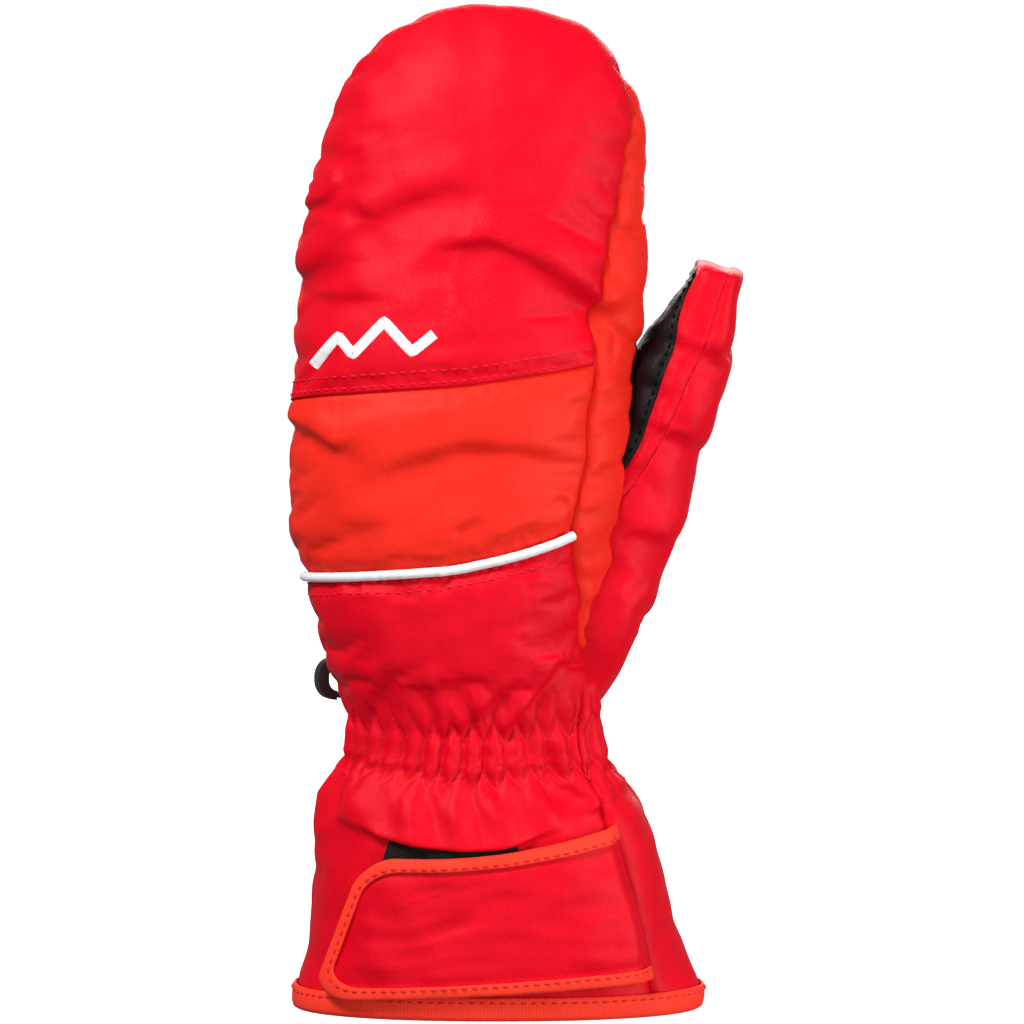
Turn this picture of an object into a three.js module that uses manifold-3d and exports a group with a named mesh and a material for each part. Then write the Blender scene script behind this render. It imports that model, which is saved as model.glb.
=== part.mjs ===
// Ski mitten for the left hand, in millimetres. +Z runs from the cuff to the fingertips, +X is the
// thumb side and -Y is the back of the hand. It stands on its hem, and the origin is the middle of
// the hem's level under the whole mitten.
//
// The hand and the thumb are each a "bag": a superellipse section that changes with height and is
// closed by a dome. Every fabric layer is a sheet laid at some inset below a bag's outer surface.

import * as THREE from "three";
import { mergeVertices } from "three/addons/utils/BufferGeometryUtils.js";
import Module from "manifold-3d";

const wasm = await Module();
wasm.setup();

// ---------------------------------------------------------------- driving dimensions

// Hand bag: height, half width, centre x, half depth, centre y. The elastic draws it in at 78.
const HAND_STATIONS = [
  [0, 57.5, 8, 32, 0],
  [22, 52.3, 6.5, 31, 0],
  [46, 48.6, 4.3, 30, 0],
  [58, 43.8, 2.2, 28, 0],
  [68, 38.8, 1.5, 25.5, 0],
  [78, 36.3, 1.4, 24.8, 0],
  [88, 37.6, 0.8, 26, 0],
  [111, 43, -2, 29.5, 0],
  [136, 47.5, -3.5, 31, 0.3],
  [171, 49.2, -2.2, 31, 1.5],
  [206, 48.9, -0.6, 28.5, 4],
  [231, 47.4, 2, 25, 6],
  [257, 47.4, 5.2, 25, 8],
  [287, 47.4, 6.5, 25, 10],
];
const HAND_SHOULDER = 231;
const HAND_TIP = 287;

// Every sheet's rows are spread evenly between these heights, which crowd together at the wrist.
const LEVELS = [-30, 0, 14, 28, 41, 51, 59, 66, 72, 78, 84, 91, 100, 110, 121, 133, 156, 191, 231];

// Thumb bag, in its own frame: its width lies along the mitten's depth, its depth along the width.
const THUMB_STATIONS = [
  [-26, 12, -6, 6, 3],
  [-6, 20, -2, 12, 0],
  [12, 23, 0, 14.5, 0],
  [45, 22.5, 0, 14, 0],
  [75, 20, 0, 11.5, 0],
  [97, 17.5, 0, 8.8, 0],
  [113, 17.5, 0, 8.8, 0],
];
const THUMB_SHOULDER = 97;
const THUMB_TIP = 113;
const THUMB_ROOT = new THREE.Vector3(36, 13, 106.5);
const THUMB_TILT = 19;
const THUMB_HINGE = new THREE.Vector3(38, 13, 101);
const THUMB_SWING = 15;

const SHELL = 1;
const ELASTIC = { from: 68, to: 84, outer: 1.7, inner: 2.4 };
const PADDING_OUTER = 2.9;
const PADDING_CUFF = 2.2;
const PADDING_HAND = 4.5;
const PADDING_FULL_FROM = 106;
const PADDING_THIN_BELOW = 66;
const INSERT = 0.5;
const LINER = 1;
const LAYER_GAP = 0.6;
const SEAM_GAP = 0.6;

const HEM = { height: 6.5, tape: 1, foot: 1.6, gap: 0.6 };
const PIPING_RADIUS = 1.5;
const GUSSET_FOOT = 92.5;

// Closure flap over the front of the cuff, in front view: x of its free and sewn ends and z of its
// edges, at the bottom and the top, then its rounded corners and its size in mm.
const FLAP = {
  bottom: { free: -42, sewn: 51, freeZ: 4.5, sewnZ: 10.5 },
  top: { free: -26, sewn: 40, freeZ: 45.5, sewnZ: 54.5 },
  sag: 3,
  cornerU: 0.12,
  cornerV: 0.2,
  cornerColumns: 4,
  columns: 16,
  length: 85,
  height: 40,
};

// Heights of the flap's layers above the cuff, then of the tape folded round its edge.
const LOOP_PATCH = { from: 0.4, to: 1.3 };
const HOOK_PATCH = { from: 1.7, to: 2.5 };
const FLAP_BACKING = { from: 2.9, to: 3.5 };
const FLAP_PANEL = { from: 3.9, to: 4.7 };
const FLAP_TAPE = { from: 2, to: 5.6, thick: 0.5, width: 4.5 };

const CLIP = { length: 31.5, width: 12.5, thick: 3.2, arm: 2.6, bar: 2.4, slot: 3, web: 3 };
const CLIP_TURN = 27;
const CLIP_TAB_TURN = 3;
const CLIP_PIN = new THREE.Vector3(-17.5, 31, 92.2);

const COLOURS = {
  red: "#ee1230",
  orange: "#fb4836",
  white: "#f4f3f6",
  black: "#1b1819",
  grey: "#6d6f73",
  wadding: "#e8e6e0",
};

// ---------------------------------------------------------------- small helpers

const rad = THREE.MathUtils.degToRad;
const lerp = THREE.MathUtils.lerp;
const smoothstep = THREE.MathUtils.smoothstep;
const fixed = (value) => () => value;

// Cubic interpolation through rows whose first number is the height.
function interpolate(rows, height, column) {
  const last = rows.length - 1;
  const h = THREE.MathUtils.clamp(height, rows[0][0], rows[last][0]);
  const k = Math.min(Math.max(rows.findIndex((row) => row[0] > h) - 1, 0), last - 1);
  const at = h >= rows[last][0] ? last - 1 : k;
  const slope = (i) => {
    const a = rows[Math.max(i - 1, 0)];
    const b = rows[Math.min(i + 1, last)];
    return (b[column] - a[column]) / (b[0] - a[0]);
  };
  const span = rows[at + 1][0] - rows[at][0];
  const t = (h - rows[at][0]) / span;
  return (
    (2 * t ** 3 - 3 * t ** 2 + 1) * rows[at][column] +
    (t ** 3 - 2 * t ** 2 + t) * span * slope(at) +
    (3 * t ** 2 - 2 * t ** 3) * rows[at + 1][column] +
    (t ** 3 - t ** 2) * span * slope(at + 1)
  );
}

// A height `share` of the way from `foot` to `head`, counted in LEVELS.
function levelBetween(foot, head, share) {
  const last = LEVELS.length - 2;
  const rank = (height) => {
    const k = Math.min(Math.max(LEVELS.findIndex((level) => level > height) - 1, 0), last);
    const at = height >= LEVELS[last + 1] ? last : k;
    return at + (height - LEVELS[at]) / (LEVELS[at + 1] - LEVELS[at]);
  };
  const here = lerp(rank(foot), rank(head), share);
  const k = Math.min(Math.floor(here), last);
  return lerp(LEVELS[k], LEVELS[k + 1], here - k);
}

// A way out of a bag's core: `out` degrees round from the front, or from the back when side is 1,
// and `over` degrees over the dome, 0 on the right side and 180 on the left.
function aim(out, over, side = -1) {
  const [a, b] = [rad(out), rad(over)];
  return new THREE.Vector3(Math.sin(a) * Math.cos(b), side * Math.cos(a), Math.sin(a) * Math.sin(b));
}

class Bag {
  constructor({ stations, shoulder, tip, power }) {
    Object.assign(this, { stations, shoulder, tip, power });
  }

  // The point on the bag, `inset` below its surface, in direction `way`. A way with a rise (its z)
  // is on the dome, and any other is at `height`.
  point(way, height, inset) {
    const rise = Math.max(way.z, 0);
    const p = this.power;
    const size = (Math.abs(way.x) ** p + Math.abs(way.y) ** p + rise ** p) ** (1 / p);
    const share = rise > 1e-9 ? rise / size : 0;
    const dome = this.tip - this.shoulder;
    const level = rise > 1e-9 ? this.shoulder + share * dome : height;
    const [halfWidth, x, halfDepth, y] = [1, 2, 3, 4].map((c) => interpolate(this.stations, level, c));
    return new THREE.Vector3(
      x + (way.x / size) * (halfWidth - inset),
      y + (way.y / size) * (halfDepth - inset),
      rise > 1e-9 ? this.shoulder + share * (dome - inset) : height,
    );
  }
}

// Closed geometry from points and triangles, with points that coincide joined.
function closed(points, triangles) {
  const raw = new THREE.BufferGeometry().setFromPoints(points).setIndex(triangles);
  const merged = mergeVertices(raw, 1e-4);
  const old = merged.index.array;
  const kept = [];
  for (let i = 0; i < old.length; i += 3) {
    const [a, b, c] = [old[i], old[i + 1], old[i + 2]];
    if (a !== b && b !== c && c !== a) kept.push(a, b, c);
  }
  return merged.setIndex(kept);
}

// The solid between two insets of sheet(u, v, inset), with u and v from 0 to 1. A ring closes on
// itself in u, and a capped sheet needs no edge at v = 1 because it ends in a point there.
function sheetSolid(sheet, columns, rows, outer, inner, { ring = false, capped = false } = {}) {
  const points = [];
  const triangles = [];
  const across = ring ? columns : columns + 1;
  for (const inset of [outer, inner]) {
    for (let j = 0; j <= rows; j++) {
      for (let i = 0; i < across; i++) points.push(sheet(i / columns, j / rows, inset));
    }
  }
  const layer = across * (rows + 1);
  const at = (i, j, side) => side * layer + j * across + (i % across);
  const quad = (a, b, c, d) => triangles.push(a, b, c, a, c, d);
  for (let j = 0; j < rows; j++) {
    for (let i = 0; i < columns; i++) {
      quad(at(i, j, 0), at(i + 1, j, 0), at(i + 1, j + 1, 0), at(i, j + 1, 0));
      quad(at(i, j, 1), at(i, j + 1, 1), at(i + 1, j + 1, 1), at(i + 1, j, 1));
    }
    if (!ring) {
      quad(at(0, j, 0), at(0, j + 1, 0), at(0, j + 1, 1), at(0, j, 1));
      quad(at(columns, j, 0), at(columns, j, 1), at(columns, j + 1, 1), at(columns, j + 1, 0));
    }
  }
  for (let i = 0; i < columns; i++) {
    quad(at(i, 0, 0), at(i, 0, 1), at(i + 1, 0, 1), at(i + 1, 0, 0));
    if (!capped) {
      quad(at(i, rows, 0), at(i + 1, rows, 0), at(i + 1, rows, 1), at(i, rows, 1));
    }
  }
  return closed(points, triangles);
}

// A solid through rings of points that each follow `outline`, with flat ends or a closed loop.
function tube(rings, outline, { loop = false } = {}) {
  const n = outline.length;
  const count = rings.length;
  const triangles = [];
  for (let k = 0; k < (loop ? count : count - 1); k++) {
    for (let i = 0; i < n; i++) {
      const [a, b] = [k * n + i, k * n + ((i + 1) % n)];
      const [c, d] = [((k + 1) % count) * n + i, ((k + 1) % count) * n + ((i + 1) % n)];
      triangles.push(a, d, b, a, c, d);
    }
  }
  if (!loop) {
    const end = (count - 1) * n;
    const section = outline.map(([x, y]) => new THREE.Vector2(x, y));
    for (const [a, b, c] of THREE.ShapeUtils.triangulateShape(section, [])) {
      triangles.push(a, b, c, end + c, end + b, end + a);
    }
  }
  return closed(rings.flat(), triangles);
}

function toManifold(geometry) {
  const bare = geometry.clone();
  bare.deleteAttribute("normal");
  bare.deleteAttribute("uv");
  const merged = mergeVertices(bare, 1e-4);
  return new wasm.Manifold(
    new wasm.Mesh({
      numProp: 3,
      vertProperties: new Float32Array(merged.attributes.position.array),
      triVerts: new Uint32Array(merged.index.array),
    }),
  );
}

// The geometry less every cutter.
function cut(geometry, ...cutters) {
  let solid = toManifold(geometry);
  for (const cutter of cutters) solid = solid.subtract(toManifold(cutter));
  const largest = solid.decompose().sort((a, b) => b.volume() - a.volume())[0];
  const mesh = largest.getMesh();
  const made = new THREE.BufferGeometry();
  made.setAttribute("position", new THREE.BufferAttribute(new Float32Array(mesh.vertProperties), 3));
  return made.setIndex(new THREE.BufferAttribute(new Uint32Array(mesh.triVerts), 1));
}

function piece(name, geometry, colour, roughness = 0.8) {
  geometry.computeVertexNormals();
  const material = new THREE.MeshStandardMaterial({ color: COLOURS[colour], roughness, metalness: 0 });
  const mesh = new THREE.Mesh(geometry, material);
  mesh.name = name;
  return mesh;
}

// A group that turns about `pivot`, holding meshes whose geometry is in the mitten's frame.
function hinged(pivot, meshes) {
  const group = new THREE.Group();
  group.position.copy(pivot);
  for (const mesh of meshes) {
    mesh.position.sub(pivot);
    group.add(mesh);
  }
  return group;
}

// ---------------------------------------------------------------- the bags and their seams

const hand = new Bag({ stations: HAND_STATIONS, shoulder: HAND_SHOULDER, tip: HAND_TIP, power: 2.2 });
const thumb = new Bag({ stations: THUMB_STATIONS, shoulder: THUMB_SHOULDER, tip: THUMB_TIP, power: 2.4 });

// Degrees round from the front to the seam on the thumb side, by height.
const RIGHT_SEAM = [
  [0, 54],
  [12, 53],
  [49, 44],
  [58, 45],
  [71, 52],
  [93, 55],
  [112, 50],
  [133, 43],
  [181, 51],
  [210, 54],
  [231, 62],
];
const LEFT_SEAM = 80;
const TIP_SEAM = 84;

// Degrees round from the front to the seam between gusset and palm, by height.
const PALM_SEAM = [
  [92, 56.5],
  [111, 67],
  [128, 85],
  [145, 100],
  [175, 108],
];
const PALM_SEAM_LEFT = [
  [92, 82],
  [145, 105],
  [175, 108],
];
const PALM_SEAM_TIP = 108;

// A seam's angle at a height, or over the dome, eased from its right side by the tip to its left.
function seamAngle(rightRows, leftRows, tip) {
  return (height, over) => {
    const side = over < 90 ? rightRows : leftRows;
    const foot = interpolate(side, height, 1);
    return lerp(foot, tip, smoothstep(Math.min(over, 180 - over), 0, 60));
  };
}
const backSeam = seamAngle(RIGHT_SEAM, [[0, LEFT_SEAM], [HAND_SHOULDER, LEFT_SEAM]], TIP_SEAM);
const palmSeam = seamAngle(PALM_SEAM, PALM_SEAM_LEFT, PALM_SEAM_TIP);

// Where a dome's rows and columns meet: `across` from -1 to 1 and `up` from 0 to 1.
function domeWay(across, up) {
  const x = across * Math.sqrt(1 - up ** 2 / 2);
  const z = up * Math.sqrt(1 - across ** 2 / 2);
  return { over: THREE.MathUtils.radToDeg(Math.atan2(z, x)), reach: Math.hypot(x, z) };
}

// A sheet over the front (side -1) or back (side 1) of a bag, from foot(u) to head(u), or on over
// the dome when there is no head. `edge` is its seam's angle from that side's middle line, and
// `wall` is the share of its rows below the dome.
function faceSheet(bag, side, edge, foot, { head = null, wall = 1 } = {}) {
  return (u, v, inset) => {
    const across = -side * (2 * u - 1);
    if (v <= wall) {
      const top = head ? head(across) : bag.shoulder;
      const height = levelBetween(foot(across), top, v / wall);
      const over = across < 0 ? 180 : 0;
      return bag.point(aim(Math.abs(across) * edge(height, over), over, side), height, inset(height));
    }
    const { over, reach } = domeWay(across, (v - wall) / (1 - wall));
    return bag.point(aim(reach * edge(bag.shoulder, over), over, side), bag.shoulder, inset(bag.shoulder));
  };
}

// A strip from the right foot over the dome to the left foot, between two seam angles. `wall` is
// the share of its columns on each side below the dome.
function gussetSheet(bag, from, to, foot, wall) {
  return (u, v, inset) => {
    let [height, over] = [bag.shoulder, 0];
    if (u <= wall || u >= 1 - wall) {
      height = levelBetween(foot, bag.shoulder, Math.min(u, 1 - u) / wall);
      over = u <= wall ? 0 : 180;
    } else {
      const turn = (4 * (u - wall)) / (1 - 2 * wall);
      const across = THREE.MathUtils.clamp(2 - turn, -1, 1);
      over = domeWay(across, Math.min(turn, 4 - turn, 1)).over;
    }
    const out = lerp(to(height, over), from(height, over), v);
    return bag.point(aim(out, over), height, inset(height));
  };
}

// A whole bag from its foot over its dome: the front in the first half of u, then the back.
function bagSheet(bag, foot, wall) {
  const [front, back] = [-1, 1].map((side) => faceSheet(bag, side, fixed(90), fixed(foot), { wall }));
  return (u, v, inset) => (u < 0.5 ? front(2 * u, v, inset) : back(2 * u - 1, v, inset));
}

// A bag filled solid, for cutting.
function filledBag(bag, foot, inset, { columns, rows, wall }) {
  const sheet = bagSheet(bag, foot, wall);
  const points = [new THREE.Vector3(0, 0, foot)];
  const triangles = [];
  for (let j = 0; j <= rows; j++) {
    for (let i = 0; i < columns; i++) points.push(sheet(i / columns, j / rows, inset));
  }
  const at = (i, j) => 1 + j * columns + (i % columns);
  for (let i = 0; i < columns; i++) {
    triangles.push(0, at(i + 1, 0), at(i, 0));
    for (let j = 0; j < rows; j++) {
      triangles.push(at(i, j), at(i + 1, j), at(i + 1, j + 1));
      triangles.push(at(i, j), at(i + 1, j + 1), at(i, j + 1));
    }
  }
  return closed(points, triangles);
}

// ---------------------------------------------------------------- layers

// Where each hand layer starts and ends below the outer surface, by height.
const paddingInner = (h) =>
  PADDING_OUTER + lerp(PADDING_CUFF, PADDING_HAND, smoothstep(h, PADDING_THIN_BELOW, PADDING_FULL_FROM));
const insertOuter = (h) => paddingInner(h) + LAYER_GAP;
const insertInner = (h) => insertOuter(h) + INSERT;
const linerOuter = (h) => insertInner(h) + LAYER_GAP;
const linerInner = (h) => linerOuter(h) + LINER;

const THUMB_LAYERS = {
  shell: [0, 0.9],
  padding: [1.4, 3.4],
  insert: [3.8, 4.2],
  liner: [4.6, 5.4],
};
const THUMB_FOOT = -22;

const upperSeam = (across) => lerp(173, 184.5, (across + 1) / 2);
const pipingSeam = (across) => 123.2 + 13.2 * ((across + 1) / 2) ** 2;

const thumbFrame = new THREE.Group();
thumbFrame.position.copy(THUMB_ROOT);
thumbFrame.rotation.set(0, rad(THUMB_TILT), rad(90), "XYZ");
thumbFrame.updateMatrix();

// Rows and columns of the bags' sheets: 12 columns on each face of the hand and 8 on the thumb.
const HAND_GRID = { columns: 24, rows: 18, wall: 12 / 18 };
const THUMB_GRID = { columns: 16, rows: 10, wall: 6 / 10 };

const thumbTunnel = filledBag(thumb, THUMB_FOOT - 2, fixed(THUMB_LAYERS.liner[1] - 0.5), THUMB_GRID);
thumbTunnel.applyMatrix4(thumbFrame.matrix);

function handPanels() {
  const shaved = (angle) => (h, over) => angle(h, over) - SEAM_GAP;
  const grown = (angle) => (h, over) => angle(h, over) + SEAM_GAP;
  const fromPalm = (angle) => (h, over) => 180 - angle(h, over) - SEAM_GAP;
  const low = (seam) => (across) => seam(across) - 0.2;
  const high = (seam) => (across) => seam(across) + 0.2;
  const outer = fixed(0);
  const inner = fixed(SHELL);
  const front = (from, options) => faceSheet(hand, -1, shaved(backSeam), from, options);
  const palmSide = (seam, from, options) => faceSheet(hand, 1, fromPalm(seam), from, options);
  const hemLine = fixed(HEM.foot);
  const wristLine = fixed(GUSSET_FOOT - 0.5);
  const palmFoot = fixed(GUSSET_FOOT);

  const fingerBack = sheetSolid(front(high(upperSeam), { wall: 3 / 9 }), 12, 9, outer, inner);
  const knuckleBack = sheetSolid(front(high(pipingSeam), { head: low(upperSeam) }), 12, 4, outer, inner);
  const cuffBack = sheetSolid(front(hemLine, { head: low(pipingSeam) }), 12, 13, outer, inner);
  const strip = gussetSheet(hand, grown(backSeam), palmSeam, GUSSET_FOOT, 13 / 50);
  const gusset = sheetSolid(strip, 50, 3, outer, inner);
  const palm = sheetSolid(palmSide(palmSeam, palmFoot, { wall: 9 / 15 }), 12, 15, outer, inner);
  const cuffPalm = sheetSolid(palmSide(backSeam, hemLine, { head: wristLine }), 14, 10, outer, inner);
  // The patch stops short of the thumb.
  const patchEdge = (h, over) => (over < 90 ? 17 : 44) * (1 - 0.3 * Math.abs((h - 147) / 39) ** 4);
  const patch = faceSheet(hand, 1, patchEdge, fixed(108), { head: fixed(186) });
  return [
    piece("finger_back_panel", fingerBack, "red"),
    piece("knuckle_back_panel", knuckleBack, "orange"),
    piece("cuff_back_panel", cuffBack, "red"),
    piece("finger_gusset", cut(gusset, thumbTunnel), "orange"),
    piece("palm_panel", cut(palm, thumbTunnel), "black", 0.5),
    piece("palm_grip_patch", sheetSolid(patch, 10, 7, fixed(-1.4), fixed(-0.6)), "black", 0.5),
    piece("cuff_palm_panel", cuffPalm, "red"),
  ];
}

function handLining() {
  const { columns, rows, wall } = HAND_GRID;
  const half = (side) => faceSheet(hand, side, fixed(89.3), fixed(HEM.foot), { wall });
  const padding = (side) => sheetSolid(half(side), columns / 2, rows, fixed(PADDING_OUTER), paddingInner);
  const bag = (outer, inner) =>
    sheetSolid(bagSheet(hand, HEM.foot, wall), columns, rows, outer, inner, { ring: true, capped: true });
  const ring = (u, v, inset) => {
    const height = lerp(ELASTIC.from, ELASTIC.to, v);
    return hand.point(aim(360 * u - 90, 0), height, inset(height));
  };
  const elastic = sheetSolid(ring, 36, 3, fixed(ELASTIC.outer), fixed(ELASTIC.inner), { ring: true });
  const label = faceSheet(hand, 1, fixed(12), fixed(8), { head: fixed(34) });
  const labelFrom = (h) => linerInner(h) + 0.4;
  const labelTo = (h) => linerInner(h) + 0.8;
  return [
    piece("wrist_elastic", elastic, "black"),
    piece("padding_back", padding(-1), "wadding"),
    piece("padding_palm", cut(padding(1), thumbTunnel), "wadding"),
    piece("waterproof_insert", cut(bag(insertOuter, insertInner), thumbTunnel), "white", 0.4),
    piece("fleece_liner", cut(bag(linerOuter, linerInner), thumbTunnel), "grey"),
    piece("care_label", sheetSolid(label, 2, 3, labelFrom, labelTo), "white"),
  ];
}

// Folded tape round the cuff's edge: a channel that holds every layer's foot.
function hemBinding() {
  const turns = 36;
  const { tape, height, gap } = HEM;
  const far = -linerInner(0) - gap;
  const near = gap + tape;
  const outline = [
    [near, 0],
    [near, height],
    [near - tape, height],
    [near - tape, tape],
    [far, tape],
    [far, height],
    [far - tape, height],
    [far - tape, 0],
  ];
  const ring = (k) => outline.map(([out, z]) => hand.point(aim((360 * k) / turns, 0), z, -out));
  return piece("hem_binding", tube(Array.from({ length: turns }, (_, k) => ring(k)), outline, { loop: true }), "orange");
}

// White cord sewn into the seam over the wrist.
function piping() {
  const steps = 18;
  const line = (k) => {
    const across = lerp(-0.97, 0.97, k / steps);
    const height = pipingSeam(across);
    const over = across < 0 ? 180 : 0;
    const out = Math.abs(across) * backSeam(height, over);
    return hand.point(aim(out, over), height, -PIPING_RADIUS - 0.3);
  };
  const path = Array.from({ length: steps + 1 }, (_, k) => line(k));
  const outline = Array.from({ length: 8 }, (_, i) => {
    const turn = (2 * Math.PI * i) / 8;
    return [PIPING_RADIUS * Math.cos(turn), PIPING_RADIUS * Math.sin(turn)];
  });
  const rings = path.map((origin, k) => {
    const along = path[Math.min(k + 1, steps)].clone().sub(path[Math.max(k - 1, 0)]).normalize();
    const side = along.clone().cross(new THREE.Vector3(0, 0, 1)).normalize();
    const up = side.clone().cross(along);
    return outline.map(([s, t]) => origin.clone().addScaledVector(side, s).addScaledVector(up, t));
  });
  return piece("seam_piping", tube(rings, outline), "white", 0.6);
}

// ---------------------------------------------------------------- thumb

// The hand bag as the thumb sees it at each step of its swing, so that the thumb is cut clear.
function handSweep() {
  const toThumb = thumbFrame.matrix.clone().invert();
  return [0, 0.5, 1].map((share) => {
    const turned = filledBag(hand, -1, fixed(-0.8), HAND_GRID);
    turned.translate(-THUMB_HINGE.x, -THUMB_HINGE.y, -THUMB_HINGE.z);
    turned.rotateY(rad(-THUMB_SWING * share));
    turned.translate(THUMB_HINGE.x, THUMB_HINGE.y, THUMB_HINGE.z);
    return turned.applyMatrix4(toThumb);
  });
}

// The thumb's own frame has its back panel at -Y, and a strip runs up its front edge, over its tip
// and down its rear edge.
function thumbPieces() {
  const body = handSweep();
  const { columns, rows, wall } = THUMB_GRID;
  const foot = fixed(THUMB_FOOT);
  const outerSeam = fixed(68);
  const gripSeam = fixed(110);
  const [outer, inner] = THUMB_LAYERS.shell.map(fixed);
  const half = columns / 2;
  const gap = 2 * SEAM_GAP;
  const back = sheetSolid(faceSheet(thumb, -1, fixed(68 - gap), foot, { wall }), half, rows, outer, inner);
  const grip = sheetSolid(faceSheet(thumb, 1, fixed(70 - gap), foot, { wall }), half, rows, outer, inner);
  const around = gussetSheet(thumb, outerSeam, gripSeam, THUMB_FOOT, 6 / 28);
  const strip = sheetSolid(around, 28, 2, outer, inner);
  const bag = ([from, to]) =>
    sheetSolid(bagSheet(thumb, THUMB_FOOT, wall), columns, rows, fixed(from), fixed(to), {
      ring: true,
      capped: true,
    });
  const pieces = [
    piece("thumb_back_panel", cut(back, ...body), "red"),
    piece("thumb_grip_panel", cut(grip, ...body), "black", 0.5),
    piece("thumb_side_strip", cut(strip, ...body), "red"),
    piece("thumb_padding", cut(bag(THUMB_LAYERS.padding), ...body), "wadding"),
    piece("thumb_insert", cut(bag(THUMB_LAYERS.insert), ...body), "white", 0.4),
    piece("thumb_liner", cut(bag(THUMB_LAYERS.liner), ...body), "grey"),
  ];
  const frame = new THREE.Group();
  frame.position.copy(thumbFrame.position).sub(THUMB_HINGE);
  frame.rotation.copy(thumbFrame.rotation);
  frame.add(...pieces);
  const swing = new THREE.Group();
  swing.position.copy(THUMB_HINGE);
  return swing.add(frame);
}

// ---------------------------------------------------------------- closure flap

// A point of the flap, u from its free to its sewn end and v from bottom to top, `raise` above
// the cuff.
function flapPoint(u, v, raise) {
  const { bottom, top, sag } = FLAP;
  const freeX = lerp(bottom.free, top.free, v);
  const x = lerp(freeX, lerp(bottom.sewn, top.sewn, v), u);
  const z = lerp(lerp(bottom.freeZ, bottom.sewnZ, u), lerp(top.freeZ, top.sewnZ, u), v);
  const height = z - sag * v * Math.sin(Math.PI * u);
  const centre = interpolate(HAND_STATIONS, height, 2);
  const share = (x - centre) / interpolate(HAND_STATIONS, height, 1);
  const depth = (1 - Math.abs(share) ** hand.power) ** (1 / hand.power);
  return hand.point(new THREE.Vector3(share, -depth, 0), height, -raise);
}

// A patch of the flap between two heights above the cuff, inside [u0, u1] and [v0, v1].
function flapPatch({ from, to }, [u0, u1], [v0, v1], columns, rows) {
  const sheet = (u, v, inset) => flapPoint(lerp(u0, u1, u), lerp(v0, v1, v), inset(0));
  return sheetSolid(sheet, columns, rows, fixed(to), fixed(from));
}

// The flap's outline by column from its free end: [u, how far v is from either edge].
function flapColumns() {
  const { cornerU, cornerV, cornerColumns, columns } = FLAP;
  const straight = columns - cornerColumns;
  return Array.from({ length: columns + 1 }, (_, k) => {
    if (k >= cornerColumns) return [lerp(cornerU, 1, (k - cornerColumns) / straight), 0];
    const turn = ((Math.PI / 2) * k) / cornerColumns;
    return [cornerU * (1 - Math.cos(turn)), cornerV * (1 - Math.sin(turn))];
  });
}

// A flap point `margin` mm inside the place [u, v] takes on the flap's outline.
function flapInside([u, v], margin, raise) {
  const [inU, inV] = [margin / FLAP.length, margin / FLAP.height];
  return flapPoint(lerp(inU, 1, u), lerp(inV, 1 - inV, v), raise);
}

// A whole layer of the flap, inside the fold of its tape.
function flapLayer({ from, to }) {
  const columns = flapColumns();
  const sheet = (share, t, inset) => {
    const [u, low] = columns[Math.round(share * FLAP.columns)];
    return flapInside([u, lerp(low, 1 - low, t)], FLAP_TAPE.thick + LAYER_GAP, inset(0));
  };
  return sheetSolid(sheet, FLAP.columns, 6, fixed(to), fixed(from));
}

// Tape folded over the flap's bottom, free end and top.
function flapBinding() {
  const { from, to, thick, width } = FLAP_TAPE;
  const outline = [
    [0, from],
    [width, from],
    [width, from + thick],
    [thick, from + thick],
    [thick, to - thick],
    [width, to - thick],
    [width, to],
    [0, to],
  ];
  const columns = flapColumns();
  const bottom = columns.map(([u, low]) => [u, low]).reverse();
  const top = columns.map(([u, low]) => [u, 1 - low]);
  const rings = [...bottom, ...top].map((place) =>
    outline.map(([margin, raise]) => flapInside(place, margin, raise)),
  );
  return tube(rings, outline);
}

function closureFlap() {
  const meshes = [
    piece("flap_panel", flapLayer(FLAP_PANEL), "red"),
    piece("flap_backing", flapLayer(FLAP_BACKING), "black"),
    piece("flap_binding", flapBinding(), "orange"),
    piece("flap_hook_patch", flapPatch(HOOK_PATCH, [0.16, 0.46], [0.2, 0.8], 5, 3), "black", 0.6),
  ];
  const middle = (FLAP_TAPE.from + FLAP_TAPE.to) / 2;
  return hinged(flapPoint(1, 0.5, middle), meshes);
}

function loopPatch() {
  return piece("cuff_loop_patch", flapPatch(LOOP_PATCH, [0.08, 0.66], [0.14, 1.1], 9, 4), "black");
}

// ---------------------------------------------------------------- pair clip

function roundedRectangle(target, x0, x1, y0, y1, radius) {
  target.moveTo(x0 + radius, y0);
  target.lineTo(x1 - radius, y0);
  target.absarc(x1 - radius, y0 + radius, radius, -Math.PI / 2, 0, false);
  target.lineTo(x1, y1 - radius);
  target.absarc(x1 - radius, y1 - radius, radius, 0, Math.PI / 2, false);
  target.lineTo(x0 + radius, y1);
  target.absarc(x0 + radius, y1 - radius, radius, Math.PI / 2, Math.PI, false);
  target.lineTo(x0, y0 + radius);
  target.absarc(x0 + radius, y0 + radius, radius, Math.PI, 1.5 * Math.PI, false);
  return target;
}

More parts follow.
